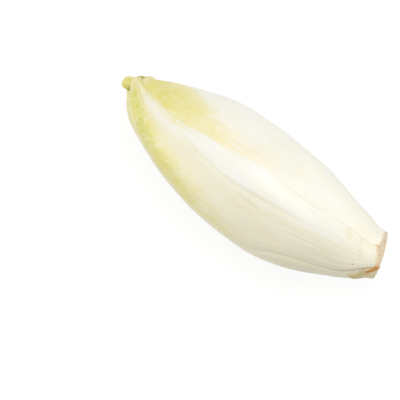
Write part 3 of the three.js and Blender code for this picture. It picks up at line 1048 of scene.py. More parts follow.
def vein_pattern(across, along):
    """1 on a side vein, less on a thread of the net, 0 between them."""
    rising = along - abs(across) * VEIN_SLANT
    wander = noise_over(across, along, (0.16, 0.16), 3.7, detail=3.0) * VEIN_WANDER
    phase = (rising / VEIN_SPACING + wander).math("FRACT")
    side_veins = ramp(abs(phase - 0.5), VEIN_HALF, 0.0)
    net_place = vector(across / (NET_SIZE * NET_STRETCH), rising / NET_SIZE, wander * 0.5)
    cells = add_node(across.tree, "ShaderNodeTexVoronoi", {"Vector": net_place},
                     feature="DISTANCE_TO_EDGE")
    net = ramp(Wire(cells.outputs["Distance"]), THREAD_HALF, 0.0) * NET_STRENGTH
    patch = ramp(noise_over(across, along, (0.12, 0.12), 21.0, detail=2.0), 0.35, 0.6)
    return side_veins.at_least(net) * (patch * PATCHES + (1 - PATCHES))


print("side veins every", VEIN_SPACING, "mm, meshes of", NET_SIZE, "mm between them")

# %% [markdown]
# ## Relief by geometry nodes
#
# A leaf's fine relief follows its surface: long shallow flutes up the rib, raised side veins
# and slight blisters between them. Sculpting them by hand would fit one leaf only. A geometry
# node tree with named sizes does it for all of them: it reads the stored numbers and moves
# each point of the outer face along its normal. The result is then made a plain mesh.

# %% Starting and ending a geometry tree
def new_geometry_tree(name, numbers):
    """A geometry tree with a geometry, a material and named numbers as inputs."""
    tree = bpy.data.node_groups.new(name, "GeometryNodeTree")
    face = tree.interface
    face.new_socket("Geometry", in_out="INPUT", socket_type="NodeSocketGeometry")
    for key, default in numbers.items():
        face.new_socket(key, in_out="INPUT", socket_type="NodeSocketFloat").default_value = default
    face.new_socket("Material", in_out="INPUT", socket_type="NodeSocketMaterial")
    face.new_socket("Geometry", in_out="OUTPUT", socket_type="NodeSocketGeometry")
    given = {socket.name: Wire(socket) for socket in add_node(tree, "NodeGroupInput").outputs}
    return tree, given, add_node(tree, "NodeGroupOutput")


def finish_tree(geometry, material, result):
    """Real geometry and a material at the end, because an export keeps no instances."""
    tree = geometry.tree
    real = add_node(tree, "GeometryNodeRealizeInstances", {"Geometry": geometry})
    paint = add_node(tree, "GeometryNodeSetMaterial", {
        "Geometry": Wire(real.outputs[0]), "Material": material,
    })
    fill(result, {"Geometry": Wire(paint.outputs[0])})


print("geometry trees so far:", len(bpy.data.node_groups))

# %% Running one on a piece
def grow(piece, tree, material):
    """Runs a geometry tree on a piece and keeps the result as a plain mesh."""
    modifier = piece.modifiers.new(tree.name, "NODES")
    modifier.node_group = tree
    sockets = {s.name: s.identifier for s in tree.interface.items_tree if s.in_out == "INPUT"}
    modifier[sockets["Material"]] = material
    evaluated = piece.evaluated_get(bpy.context.evaluated_depsgraph_get())
    made = bpy.data.meshes.new_from_object(evaluated)
    piece.modifiers.remove(modifier)
    old = piece.data
    piece.data = made
    bpy.data.meshes.remove(old)
    made.name = piece.name
    return piece


print("faces on the leaves before:", sum(len(p.data.polygons) for p in leaf_pieces.values()))

# %% The relief tree
relief_tree, given, result = new_geometry_tree("leaf_relief", {
    "Flute Spacing": 2.6, "Flute Depth": 0.24, "Vein Height": 0.08, "Blister Depth": 0.16,
})
across = stored(relief_tree, "across_mm")
along = stored(relief_tree, "along_mm")
strand = stored(relief_tree, "strand")
blade = stored(relief_tree, "yellow")  # a blade is where a leaf can turn yellow

flute_place = vector(strand / given["Flute Spacing"], along * 0.012, 1.3)
flute = (noise(flute_place, detail=3.0) - 0.5) * given["Flute Depth"] * 2.0
vein = vein_pattern(across, along) * blade * stored(relief_tree, "veined") * given["Vein Height"]
blister = noise_over(across, along, (0.14, 0.14), 8.1, detail=2.0) - 0.5
blister = blister * (blade * 2.0) * given["Blister Depth"]

fade = ramp(stored(relief_tree, "edge_mm"), 0.3, 2.5)
lift = (flute + vein + blister) * stored(relief_tree, "outer_face") * fade * MILLIMETRE
normal = Wire(add_node(relief_tree, "GeometryNodeInputNormal").outputs[0])
offset = add_node(relief_tree, "ShaderNodeVectorMath", operation="SCALE")
fill(offset, {0: normal, "Scale": lift})
move = add_node(relief_tree, "GeometryNodeSetPosition", {
    "Geometry": given["Geometry"], "Offset": Wire(offset.outputs[0]),
})
finish_tree(Wire(move.outputs[0]), given["Material"], result)
print("relief tree:", len(relief_tree.nodes), "nodes")

# %% [markdown]
# ## Materials
#
# Every finish here starts from one Principled shader: moist leaf, cut root, dried skin, the
# floor. Colours are written as they look on a screen and turned into the linear values that
# Blender reckons with. A material can be built by clicking its nodes together, but a few small
# functions keep all four of them alike and short.

# %% Colours and shaders
def srgb(r, g, b):
    """A colour given as it looks on a screen, 0 to 255, as linear values."""
    linear = [c / 12.92 if c <= 0.04045 else ((c + 0.055) / 1.055) ** 2.4
              for c in (r / 255, g / 255, b / 255)]
    return *linear, 1


def new_material(name):
    """A material with one Principled shader; the shader and its tree come with it."""
    made = bpy.data.materials.new(name)
    made.use_nodes = True
    tree = made.node_tree
    tree.nodes.clear()
    shader = add_node(tree, "ShaderNodeBsdfPrincipled")
    add_node(tree, "ShaderNodeOutputMaterial", {"Surface": Wire(shader.outputs["BSDF"])})
    return made, tree, shader


def mix(factor, first, second):
    """The first colour where the factor is 0, the second where it is 1."""
    node = add_node(factor.tree, "ShaderNodeMix", data_type="RGBA")
    fill(node, {"Factor": factor, "A": first, "B": second})
    return Wire(node.outputs["Result"])


print("a pale cream in linear values:", [round(c, 3) for c in srgb(247, 240, 213)])

# %% Light in the flesh and grain on the skin
FLESH_RADIUS = (1.0, 0.9, 0.7)  # red light goes farthest through pale flesh
FLESH_SCALE = 0.0015
GRAIN_HEIGHT = 0.0003


def make_moist(shader, weight):
    """Lets some light into the flesh and out again."""
    fill(shader, {
        "Subsurface Weight": weight, "Subsurface Radius": FLESH_RADIUS,
        "Subsurface Scale": FLESH_SCALE,
    })


def add_grain(shader, height, strength):
    """Fine bumps on the skin, too small for the mesh."""
    bump = add_node(height.tree, "ShaderNodeBump", {
        "Height": height, "Strength": strength, "Distance": GRAIN_HEIGHT,
    })
    fill(shader, {"Normal": Wire(bump.outputs["Normal"])})


print("light goes up to", FLESH_SCALE / MILLIMETRE, "mm into the flesh")

# %% [markdown]
# ## The colour of a leaf
#
# White and ivory alternate in long streaks up an endive leaf, and softer clouds of cream lie
# over them. The streaks follow the strands of the tissue, so their noise is read in strands
# across and stretched along the leaf. Noise read in plain space would cut through the leaf like
# marble.

# %% Streaks, clouds and flecks
leaf_material, tree, shader = new_material("endive_leaf")
across = stored(tree, "across_mm")
along = stored(tree, "along_mm")
strand = stored(tree, "strand")
edge = stored(tree, "edge_mm")
yellow = stored(tree, "yellow")
green = stored(tree, "green")

STREAKS, STREAK_LAYER = (0.6, 0.03), 4.0
streak = noise_over(strand, along, STREAKS, STREAK_LAYER, detail=5.0, roughness=0.6)
streak = ramp(streak, 0.38, 0.66)
cloud = ramp(noise_over(across, along, (0.11, 0.07), 9.0, detail=4.0), 0.35, 0.68)
fleck = noise_over(strand, along, (0.55, 0.2), 13.0, detail=5.0, roughness=0.62)
fleck = ramp(fleck, 0.36, 0.66)
print("patterns:", len(tree.nodes), "nodes")

# %% White, ivory and peach flesh
WHITE_FLESH = srgb(253, 251, 242)
IVORY_FLESH = srgb(247, 240, 213)
PEACH = srgb(253, 238, 204)
PATTERNS_IVORY, CREAM_IVORY = 0.24, 0.78  # how ivory a streak or a cloud is, and stored cream

# The stored cream is partly painted shade on the front leaf: below its groove, by its lower
# margin, in its groove and in the crease over its foot.
ivory = ((streak + cloud) * PATTERNS_IVORY + stored(tree, "cream") * CREAM_IVORY).kept_in_range()
flesh = mix(ivory, WHITE_FLESH, IVORY_FLESH)
flesh = mix(stored(tree, "peach") * (streak * 0.5 + 0.5), flesh, PEACH)
print("with the flesh:", len(tree.nodes), "nodes")

# %% [markdown]
# ## Yellow blades and green patches
#
# Where light reached a leaf it turned yellow, through cream, and greener where it got most. The
# edge of the zone is ragged, because each strand turns at its own pace, and the veins stay pale
# in it. So the stored yellow is broken up by the streaks, clouds and flecks, the veins are taken
# off it, and two ramps lead from flesh to cream to leaf yellow. One ramp would be simpler, but
# white mixed straight into yellow looks chalky, and cream in between keeps it warm.

# %% Yellow
CREAM_YELLOW = srgb(246, 237, 184)
LEAF_YELLOW = srgb(237, 227, 136)
EVEN_YELLOW = 0.55  # share of the yellow that the patterns leave alone
VEINS_PALE = 0.45

vein = vein_pattern(across, along) * stored(tree, "veined")
patchy = streak * 0.25 + (cloud * 0.3 + fleck * 0.4)
strength = (yellow * (patchy + EVEN_YELLOW) - vein * yellow * VEINS_PALE).kept_in_range()
tinted = mix(ramp(strength, 0.0, 0.55), flesh, CREAM_YELLOW)
tinted = mix(ramp(strength, 0.3, 1.0), tinted, LEAF_YELLOW)
print("with the yellow:", len(tree.nodes), "nodes")

# %% Green, with pale lines in it, and a pale margin
LEAF_GREEN = srgb(216, 216, 108)
GREEN_PATCHES, EVEN_GREEN = 0.75, 0.2  # shares of the green
LINES_PALE, MARGIN_PALE = 0.75, 0.4

fleck_cloud = noise_over(across, along, (0.22, 0.13), 17.0, detail=4.0, roughness=0.6)
# The stored green holds a little painted shade along the front leaf's groove.
green = green * (ramp(fleck_cloud, 0.4, 0.62) * GREEN_PATCHES + EVEN_GREEN)
scratch = noise_over(
    across, along, (0.34, 0.12), 31.0, detail=5.0, roughness=0.65, distortion=1.2,
)
scratch = ramp(abs(scratch - 0.5), 0.045, 0.0)
pale_lines = (vein * VEINS_PALE).at_least(scratch)
green = (green - pale_lines * green * LINES_PALE).kept_in_range()
tinted = mix(green, tinted, LEAF_GREEN)
pale_margin = ramp(edge, 0.9, 0.2) * (ramp(yellow, 0.1, 0.6) * MARGIN_PALE)
tinted = mix(pale_margin, tinted, CREAM_YELLOW)
print("with the green:", len(tree.nodes), "nodes")

# %% [markdown]
# ## Dried ends and marks
#
# A cut head dries first where its leaves end: the tips get a brown edge, and the feet turn tan
# by the cut. It also keeps a few marks from picking and handling. They are single spots, so each
# is a small soft ball in space that tints the flesh inside it, placed by the head's own
# coordinates. A painted mask would do as well, but it would need a texture file.

# %% Brown tips and dry feet
DRY_BROWN = srgb(186, 140, 84)
DRY_FOOT = srgb(242, 192, 118)

broken = ramp(noise_over(strand, along, STREAKS, STREAK_LAYER, scale=3.0, detail=4.0), 0.35, 0.6)
tinted = mix(stored(tree, "brown") * broken, tinted, DRY_BROWN)
tinted = mix(stored(tree, "dry") * (broken * 0.5 + 0.5), tinted, DRY_FOOT)
print("with the dried ends:", len(tree.nodes), "nodes")

# %% Spots from handling
# A dark speck, two tan bruises, and a yellowish ridge at the upper leaf's foot that ends in an
# orange scar by the cut.
SPOTS = [
    {"s": 0.058, "turn": -50, "radius": 0.5, "strength": 0.75, "tone": srgb(110, 110, 95)},
    {"s": 0.108, "turn": 1, "radius": 1.9, "strength": 0.5, "tone": srgb(246, 228, 188)},
    {"s": 0.098, "turn": -6, "radius": 1.9, "strength": 0.45, "tone": srgb(246, 230, 192)},
    {"s": 0.046, "turn": -1, "radius": 1.8, "strength": 0.4, "tone": srgb(240, 230, 184)},
    {"s": 0.033, "turn": -4, "radius": 1.5, "strength": 0.45, "tone": srgb(240, 226, 180)},
    {"s": 0.022, "turn": -4, "radius": 1.3, "strength": 0.5, "tone": srgb(240, 218, 166)},
    {"s": 0.011, "turn": -2, "radius": 1.3, "strength": 0.8, "tone": srgb(230, 176, 112)},
]
SPOT_CORE = 0.2  # share of a spot's radius that is fully tinted

object_place = Wire(add_node(tree, "ShaderNodeTexCoord").outputs["Object"])
for spot in SPOTS:
    centre = row_metres(head_point(spot["s"], math.radians(spot["turn"]), ENVELOPE(spot["s"])))
    gap = add_node(tree, "ShaderNodeVectorMath", operation="DISTANCE")
    fill(gap, {0: object_place, 1: centre.tolist()})
    radius = spot["radius"] * MILLIMETRE
    inside = ramp(Wire(gap.outputs["Value"]), radius, radius * SPOT_CORE)
    tinted = mix(inside * spot["strength"], tinted, spot["tone"])
print("spots:", len(SPOTS))

# %% [markdown]
# ## Wax and moisture
#
# An endive leaf is watery tissue under a thin wax. Light goes in, spreads and comes out warm, so
# the shader has some subsurface, and the wax gives a soft gloss that is duller in places. A thin
# margin would lose its light through its back and go dark, so it gets less subsurface. Plain
# diffuse colour would render faster, but then the leaves look like painted wood.

# %% The leaf's surface
MOISTURE = 0.25
GLOSSIEST, DULLER = 0.3, 0.22  # the least roughness, and how much more the noise adds
LEAF_GRAIN = 0.12

gloss = noise_over(across, along, (0.5, 0.08), 6.0, detail=4.0)
grain = noise_over(across, along, (1.0, 0.35), 2.0, scale=2.2, detail=3.0)
fill(shader, {"Base Color": tinted, "Roughness": gloss * DULLER + GLOSSIEST})
make_moist(shader, ramp(edge, 1.0, 9.0) * MOISTURE)
add_grain(shader, grain, LEAF_GRAIN)
print("leaf material:", len(tree.nodes), "nodes")

# %% [markdown]
# ## Dressing the leaves
#
# Each leaf now gets its relief and its material, and takes the place of its plain node in the
# frame. The relief moves points outwards, and on the belly that would push a few of them through
# the floor, so those go back onto it. Lifting the whole head would do too, but then it would no
# longer stand where the frame has it.

# %% Dress every leaf
def lift_to_floor(piece):
    """Points that the relief pushed through the floor go back onto it."""
    places = np.empty(3 * len(piece.data.vertices), np.float32)
    piece.data.vertices.foreach_get("co", places)
    places[2::3] = np.maximum(places[2::3], 0)
    piece.data.vertices.foreach_set("co", places)
    piece.data.update()


for name, piece in leaf_pieces.items():
    grow(piece, relief_tree, leaf_material)
    lift_to_floor(piece)
    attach(piece, "root")
    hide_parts(name)
print("faces on the leaves now:", sum(len(p.data.polygons) for p in leaf_pieces.values()))

# %% [markdown]
# ## The core and its cut end
#
# The leaves grow from a solid core, and the head was cut from its root through it. The cut
# face is flat but for knife marks and a rim that the knife rounded. The side shows low ridges,
# the scars of leaves taken off, and fine fibres. Turned from a plain profile it would come out
# perfectly round, so its rings get some noise: sine waves of several counts round the stump, with
# phases drawn from a fixed seed.

# %% Noise round the stump
def ripple(turn, seed, waves):
    """Smooth noise round the head, from sine waves of the given counts."""
    dice = np.random.default_rng(seed)
    total = 0
    for count in waves:
        total = total + np.sin(count * turn + dice.uniform(0, 2 * math.pi)) / math.sqrt(count)
    return total / len(waves)


def unround(turn):
    """How far the stump's outline is off a circle, as a share of its radius."""
    return 0.02 * ripple(turn, 5, (3, 7, 11))


quarter_turns = np.arange(4) * math.pi / 2
print("off round by", (unround(quarter_turns) * STUMP_RADIUS).round(3), "mm at the quarter turns")

# %% The cut face and the side
RIM_STARTS, RIM_WIDTH = 0.955, 0.045  # shares of the cut's radius
RIM_ROUNDING = 0.25  # millimetres
BUNDLE_RING = 0.66  # share of the cut's radius
KNIFE_MARKS = 0.05  # millimetres, as are the next three
FACE_SWELLS, RING_SINKS, FACE_WAVES = 0.25, 0.1, 0.2
SCAR_SPACING = 0.0085  # s between the ridges left by old leaves
SCAR_DEPTH, FIBRE_HEIGHT = 0.15, 0.03  # millimetres


def cut_face(share, turn):
    """Points of the cut face, at a share of the way out from its middle."""
    marks = KNIFE_MARKS * np.sin(share * np.sin(turn + 0.4) * 31 + 2 * share)
    dome = FACE_SWELLS * bell(share, 0, 0.35) - RING_SINKS * bell(share, BUNDLE_RING, 0.12)
    over_rim = ((share - RIM_STARTS) / RIM_WIDTH).clip(0, 1)
    rim = -RIM_ROUNDING * (1 - np.sqrt(np.clip(1 - over_rim**2, 0, 1)))
    high = marks + dome + rim + FACE_WAVES * ripple(turn, 3, (2, 5, 9)) * share
    return head_point(-high / LENGTH, turn, share * STUMP_RADIUS * (1 + unround(turn)))


def core_side(s, turn):
    """Points of the core's side, with scars and fibres near the cut."""
    near_cut = 1 - smoothstep(0.03, 0.06, s)
    wander = 0.004 * ripple(turn, 8, (1, 2, 4))
    scars = SCAR_DEPTH * np.abs(np.sin((s + wander) / SCAR_SPACING * math.pi)) * near_cut
    fibres = FIBRE_HEIGHT * ripple(turn, 9, (23, 37, 51, 64)) * near_cut
    radius = CORE(s) * (1 + unround(turn) * near_cut) + fibres - scars * smoothstep(0, 0.004, s)
    return head_point(s, turn, radius)


print("a point of the rim:", cut_face(np.array(1.0), np.array(0.0)).round(2), "mm")

# %% [markdown]
# ## Sewing the core together
#
# The face and the side are one stack of rings, from the middle of the cut out to its rim and
# then along the side to the point inside the head. A fan of triangles closes each end. Rings
# stand close together near the cut, where the detail is, and far apart where leaves hide them.
# A cylinder cut to shape would have a single sharp rim; rings can round it as a knife does.

# %% Rings of the core
CORE_COLUMNS = 200
FACE_RINGS, SIDE_RINGS = 46, 90
NEAR_CUT_ENDS, FAR_RINGS_START = 0.06, 0.068  # s of the last close ring and the next one
LAST_RING, CORE_POINT = 0.4, 0.402  # s of the last ring and of the core's point
FACE_MIDDLE = 0.3  # millimetres that the middle of the cut stands out


def core_rings():
    """Shares of the way out and turns on the cut, and s and turns on the side."""
    turn = np.arange(CORE_COLUMNS) * 2 * math.pi / CORE_COLUMNS
    share = np.linspace(0, 1, FACE_RINGS)[1:]
    side_s = np.concatenate([
        np.linspace(0, NEAR_CUT_ENDS, SIDE_RINGS // 2)[1:],
        np.linspace(FAR_RINGS_START, LAST_RING, SIDE_RINGS // 2),
    ])
    return *np.meshgrid(share, turn, indexing="ij"), *np.meshgrid(side_s, turn, indexing="ij")


def ring_faces(rings):
    """Quads between rings, and fans to the two end points that come after all rings."""
    index = np.arange(rings * CORE_COLUMNS).reshape(rings, CORE_COLUMNS)
    beside = np.roll(index, -1, axis=1)
    quads = np.stack([index[1:], beside[1:], beside[:-1], index[:-1]], -1).reshape(-1, 4)
    first, last = index.size, index.size + 1
    fans = [[a, b, first] for a, b in zip(index[0].tolist(), beside[0].tolist())]
    fans += [[b, a, last] for a, b in zip(index[-1].tolist(), beside[-1].tolist())]
    return quads.tolist() + fans


print("three rings have", len(ring_faces(3)), "faces")

# %% The core's mesh
FRONT_TURN, FRONT_REACH = -0.9, 0.9  # radians round the side that was cut last


def build_core():
    """The core's mesh, with the numbers that its bundles and its colours read."""
    share, face_turn, s, side_turn = core_rings()
    ends = head_point(np.array([-FACE_MIDDLE / LENGTH, CORE_POINT]), np.zeros(2), np.zeros(2))
    grid = np.concatenate([cut_face(share, face_turn), core_side(s, side_turn)])
    points = np.concatenate([grid.reshape(-1, 3), ends])

    def numbers(on_cut, on_side, at_ends):
        return np.concatenate([np.ravel(on_cut), np.ravel(on_side), at_ends])

    on_face = numbers(1 + 0 * share, 0 * s, [1, 0])
    out_share = numbers(share, 1 + 0 * s, [0, 0])
    round_it = numbers(face_turn, side_turn, [0, 0])
    from_front = np.mod(round_it - FRONT_TURN + math.pi, 2 * math.pi)
    return new_object("core_stump", row_metres(points), ring_faces(len(grid)), {
        "on_face": on_face,
        "out_share": out_share,
        "bundle": bell(out_share, BUNDLE_RING, 0.07) * on_face,
        "along_mm": numbers(0 * share, s * LENGTH, [0, 60]),
        "round_it": round_it,
        "front": bell(from_front, math.pi, FRONT_REACH),
    })


core_piece = build_core()
print("core:", len(core_piece.data.vertices), "points")

# %% [markdown]
# ## The bundles on the cut
#
# A ring of woody bundles carries the plant's sap. As the soft tissue round them dries, their
# cut ends stand up a little. There are about sixty, of several sizes, so they aren't placed
# by hand: geometry nodes scatter flat buds over the face, where the stored density says they
# belong, with a fixed seed.

# %% Bundles scattered by geometry nodes
BUD_FLATNESS = 0.45  # a bud's height over its radius

bundle_tree, given, result = new_geometry_tree("vascular_bundles", {
    "Density": 1.1e6, "Bundle Size": 0.00042, "Smallest": 0.5, "Seed": 4.0,
})
scattered = add_node(bundle_tree, "GeometryNodeDistributePointsOnFaces", {
    "Mesh": given["Geometry"],
    "Density": stored(bundle_tree, "bundle") * given["Density"],
    "Seed": given["Seed"],
})
bud = add_node(bundle_tree, "GeometryNodeMeshIcoSphere", {"Radius": 1.0, "Subdivisions": 3})
marked_bud = add_node(bundle_tree, "GeometryNodeStoreNamedAttribute", {
    "Geometry": Wire(bud.outputs["Mesh"]), "Name": "is_bundle", "Value": 1.0,
}, data_type="FLOAT", domain="POINT")
size = add_node(bundle_tree, "FunctionNodeRandomValue", data_type="FLOAT")
fill(size, {"Min": given["Smallest"], "Max": 1.0})
radius = Wire(size.outputs["Value"]) * given["Bundle Size"]
placed = add_node(bundle_tree, "GeometryNodeInstanceOnPoints", {
    "Points": Wire(scattered.outputs["Points"]),
    "Rotation": Wire(scattered.outputs["Rotation"]),
    "Instance": Wire(marked_bud.outputs["Geometry"]),
    "Scale": vector(radius, radius, radius * BUD_FLATNESS),
})
joined = add_node(bundle_tree, "GeometryNodeJoinGeometry")
for part in (given["Geometry"], Wire(placed.outputs["Instances"])):
    plug(part, joined.inputs[0])
finish_tree(Wire(joined.outputs[0]), given["Material"], result)
print("bundle tree:", len(bundle_tree.nodes), "nodes")

# %% [markdown]
# ## The colours of the cut
#
# Fresh root tissue is pale tan with pinkish patches, and it dries to orange at the rim, in the
# scars and on the bundles. Two sizes of plain noise in space are enough here, because a cut goes
# through the tissue whichever way its strands run. Noise that follows the strands, as on the
# leaves, would draw lines here that no cut has.

# %% The cut face's colours
CUT_TAN = srgb(255, 236, 200)
CUT_PINK = srgb(255, 226, 188)
CUT_PALE = srgb(255, 241, 212)
SCAR_ORANGE = srgb(214, 158, 96)
RIM_ORANGE, BUNDLE_ORANGE = 0.2, 0.45

core_material, tree, shader = new_material("endive_core")
object_place = Wire(add_node(tree, "ShaderNodeTexCoord").outputs["Object"])
mottle = noise(object_place, scale=420.0, detail=4.0, roughness=0.6)
patches = ramp(noise(object_place, scale=150.0, detail=3.0), 0.4, 0.62)
cut = mix(patches, CUT_TAN, CUT_PINK)
cut = mix(ramp(mottle, 0.5, 0.72), cut, CUT_PALE)
cut = mix(ramp(stored(tree, "out_share"), 0.92, 1.0) * RIM_ORANGE, cut, SCAR_ORANGE)
print("cut face:", len(tree.nodes), "nodes")

# %% The stump's side and the whole core
SCAR_PEACH = srgb(250, 220, 164)
SIDE_CREAM = srgb(249, 245, 226)
SCAR_STRENGTH, RIM_STAIN = 0.85, 0.7
CORE_ROUGHNESS, CORE_MOISTURE, CORE_GRAIN = 0.62, 0.15, 0.35

along = stored(tree, "along_mm")
round_it = stored(tree, "round_it")
scar = ramp(noise_over(round_it, along, (3.0, 0.7), 2.0, detail=4.0, roughness=0.6), 0.48, 0.62)
stain = scar * ramp(along, 0.6, 3.2) * SCAR_STRENGTH
rim_stain = ramp(along, 1.6, 0.4) * stored(tree, "front")
flesh = mix(stain, SIDE_CREAM, SCAR_ORANGE)
flesh = mix(rim_stain * RIM_STAIN, flesh, SCAR_PEACH)
tone = mix(stored(tree, "on_face"), flesh, cut)
tone = mix(stored(tree, "is_bundle") * BUNDLE_ORANGE, tone, SCAR_ORANGE)
fill(shader, {"Base Color": tone, "Roughness": CORE_ROUGHNESS})
make_moist(shader, CORE_MOISTURE)
add_grain(shader, mottle, CORE_GRAIN)

grow(core_piece, bundle_tree, core_material)
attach(core_piece, "root")
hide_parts("core")
print("core with bundles:", len(core_piece.data.polygons), "faces")

# %% [markdown]
# ## The dried sliver
#
# Below the head clings what is left of an old leaf: a thin strip, torn to a point at its free
# end, olive and tan with an orange scar, and creased lengthwise. Paper-thin dry tissue warps, so
# the strip gets creases of two sizes and a lifted edge. It could be a plane with Solidify, but
# it has to hug the head, so it is built like a leaf, from two curves for its margins.

# %% The sliver's outline
SLIVER_FROM, SLIVER_TO = -0.004, 0.058
SLIVER_TOP = curve([
    (-0.004, -45), (0.008, -50), (0.016, -52), (0.025, -52), (0.031, -57), (0.034, -65),
    (0.038, -71), (0.046, -77), (0.058, -82.5),
])
SLIVER_LOW = curve([
    (-0.004, -103), (0.02, -101), (0.03, -102), (0.041, -104), (0.05, -97), (0.058, -84.5),
])
SLIVER_LIFT = curve([(-0.004, -0.9), (0.005, 0), (0.02, -0.1), (0.035, -0.3), (0.058, -0.4)])
SLIVER_SPAN = SLIVER_TO - SLIVER_FROM
print("the sliver is", round(LENGTH * SLIVER_SPAN, 1), "mm long")

# %% The sliver's skin and stains
WIDE_CREASES, FINE_CREASES, CURL, EDGES_BEND = 0.12, 0.08, 0.1, 0.25  # millimetres


def sliver_skin(s, u, t):
    """The outer face's radius: on the stump's skin, creased, curled and bent in at the edges."""
    wide, fine = np.sin(9 * u + 3 * t), np.sin(23 * u - 5 * t + 1)
    creases = WIDE_CREASES * wide + FINE_CREASES * fine
    curl = CURL * bell(s, 0.041, 0.008) * smoothstep(-0.2, -1, u)
    outer = np.maximum(ENVELOPE(s), STUMP_RADIUS) + SLIVER_LIFT(s)
    outer = outer + creases * smoothstep(0, 0.2, t) + curl
    return outer - EDGES_BEND * smoothstep(0.6, 1, np.abs(u))


def sliver_stains(s, turn):
    """The orange scar that runs askew over the sliver, and the tan skin below it."""
    below_scar = np.degrees(turn) - (-47 - 950 * (s + 0.004))
    scar = bell(below_scar, 4, 8) * (1 - smoothstep(0.018, 0.028, s))
    tan = smoothstep(-4, -12, below_scar) * (1 - smoothstep(0.02, 0.032, s))
    return scar, tan


print("the sliver's creases are up to", round(2 * (WIDE_CREASES + FINE_CREASES), 2), "mm deep")

# %% The sliver's mesh
SLIVER_ALONG, SLIVER_ACROSS = 100, 50
SLIVER_THIN, SLIVER_THICKER = 0.16, 0.24  # at its edge, and how much more it is inside
HALF_SLIVER = 5.5  # millimetres from its middle line to a margin


def build_sliver():
    """A closed shell between the two margins, with ragged edges."""
    s_line = np.linspace(SLIVER_FROM, SLIVER_TO, SLIVER_ALONG + 1)
    u_line = np.linspace(-1, 1, SLIVER_ACROSS + 1)
    s, u = np.meshgrid(s_line, u_line, indexing="ij")
    t = (s - SLIVER_FROM) / SLIVER_SPAN
    low, top = np.radians(SLIVER_LOW(s)), np.radians(SLIVER_TOP(s))
    ragged = 0.012 * np.sin(61 * t) + 0.008 * np.sin(147 * t + 1)
    turn = (low + top) / 2 + u * (top - low) / 2 + ragged * np.abs(u)
    outer = sliver_skin(s, u, t)
    to_margin = (1 - np.abs(u)) * (top - low) / 2 * np.maximum(ENVELOPE(s), STUMP_RADIUS)
    edge = np.minimum(to_margin, (1 - t) * LENGTH * SLIVER_SPAN)
    thick = SLIVER_THIN + SLIVER_THICKER * smoothstep(0, 0.8, edge)
    faces_mm = [head_point(s, turn, r).reshape(-1, 3) for r in (outer, outer - thick)]
    scar, tan = sliver_stains(s, turn)
    attributes = {
        "edge_mm": twice(edge), "across_mm": twice(u * HALF_SLIVER),
        "along_mm": twice(s * LENGTH), "scar": twice(scar), "tan": twice(tan),
    }
    points_m = press_on_floor(row_metres(np.concatenate(faces_mm)))
    faces = shell_faces(SLIVER_ALONG, SLIVER_ACROSS)
    return new_object("dried_sliver", points_m, faces, attributes)


sliver = build_sliver()
print("sliver:", len(sliver.data.polygons), "faces")

# %% The sliver's material
DRY_OLIVE = srgb(228, 213, 164)
DRY_TAN = srgb(240, 226, 190)
DRY_EDGE = srgb(214, 160, 104)
SCAR_BROWN = srgb(206, 136, 54)
EDGE_DARK, FIBRE_DARK = 0.2, 0.6
DRY_ROUGHNESS, DRY_GRAIN = 0.7, 0.5

dry_material, tree, shader = new_material("dried_leaf")
across = stored(tree, "across_mm")
along = stored(tree, "along_mm")
fibre = noise_over(across, along, (1.6, 0.25), 5.0, detail=5.0, roughness=0.65)
dark_edge = ramp(stored(tree, "edge_mm"), 0.5, 0.1) * EDGE_DARK
dark = dark_edge.at_least(ramp(fibre, 0.54, 0.7) * FIBRE_DARK)
tone = mix(stored(tree, "tan"), DRY_OLIVE, DRY_TAN)
tone = mix(dark, tone, DRY_EDGE)
tone = mix(stored(tree, "scar"), tone, SCAR_BROWN)
fill(shader, {"Base Color": tone, "Roughness": DRY_ROUGHNESS})
add_grain(shader, fibre, DRY_GRAIN)

sliver.data.materials.append(dry_material)
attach(sliver, "root")
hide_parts("old_leaf_base")
print("sliver material:", len(tree.nodes), "nodes")

# %% [markdown]
# ## The camera
#
# The head is seen from its front left and from well above, through a long lens. A long lens
# stands far back, so the near end of the head doesn't look bigger than the far one. The camera
# could be moved about by hand until the head fits. Here it is placed by what it should show: how
# wide a view, and where in it the head's middle lies.

# %% Where the camera looks
VIEW_AZIMUTH, VIEW_ELEVATION = math.radians(37), math.radians(68)
LENS, SENSOR = 200.0, 36.0  # millimetres
FRAME_WIDTH = 0.19206  # metres that the view spans at the head
RIGHT_OF_VIEW, ABOVE_VIEW = 0.02544, 0.01588  # metres from the view's middle to the head's

back = Vector((
    math.sin(VIEW_AZIMUTH) * math.cos(VIEW_ELEVATION),
    -math.cos(VIEW_AZIMUTH) * math.cos(VIEW_ELEVATION),
    math.sin(VIEW_ELEVATION),
))
right = Vector((math.cos(VIEW_AZIMUTH), math.sin(VIEW_AZIMUTH), 0))
up = back.cross(right)
cut_end, tip_end = (row_metres(head_point(s, 0.0, 0.0)) for s in (0.0, 1.0))
middle = Vector(((cut_end + tip_end) / 2).tolist())
target = middle - RIGHT_OF_VIEW * right - ABOVE_VIEW * up
print("the head's middle is", round(middle.z * 1000, 1), "mm above the floor")

# %% Camera
camera = in_scene("camera", bpy.data.cameras.new("camera"))
camera.data.lens = LENS
camera.data.sensor_width = SENSOR
camera.data.clip_start = 0.05
camera.location = target + back * FRAME_WIDTH * LENS / SENSOR
camera.rotation_euler = back.to_track_quat("Z", "Y").to_euler()
bpy.context.scene.camera = camera
print("camera at", [round(v, 3) for v in camera.location], "metres")

# %% [markdown]
# ## The floor
#
# The head lies on a pale floor that should look like plain white paper, yet keep the head's
# soft shadow. Enough lamp light for that would burn out the pale leaves. So the floor is a dull
# grey-white surface, and only where the camera or a reflection looks at it, most of it is
# replaced by white that glows at a set strength.

# %% Floor
FLOOR_HALF = 3.0  # metres

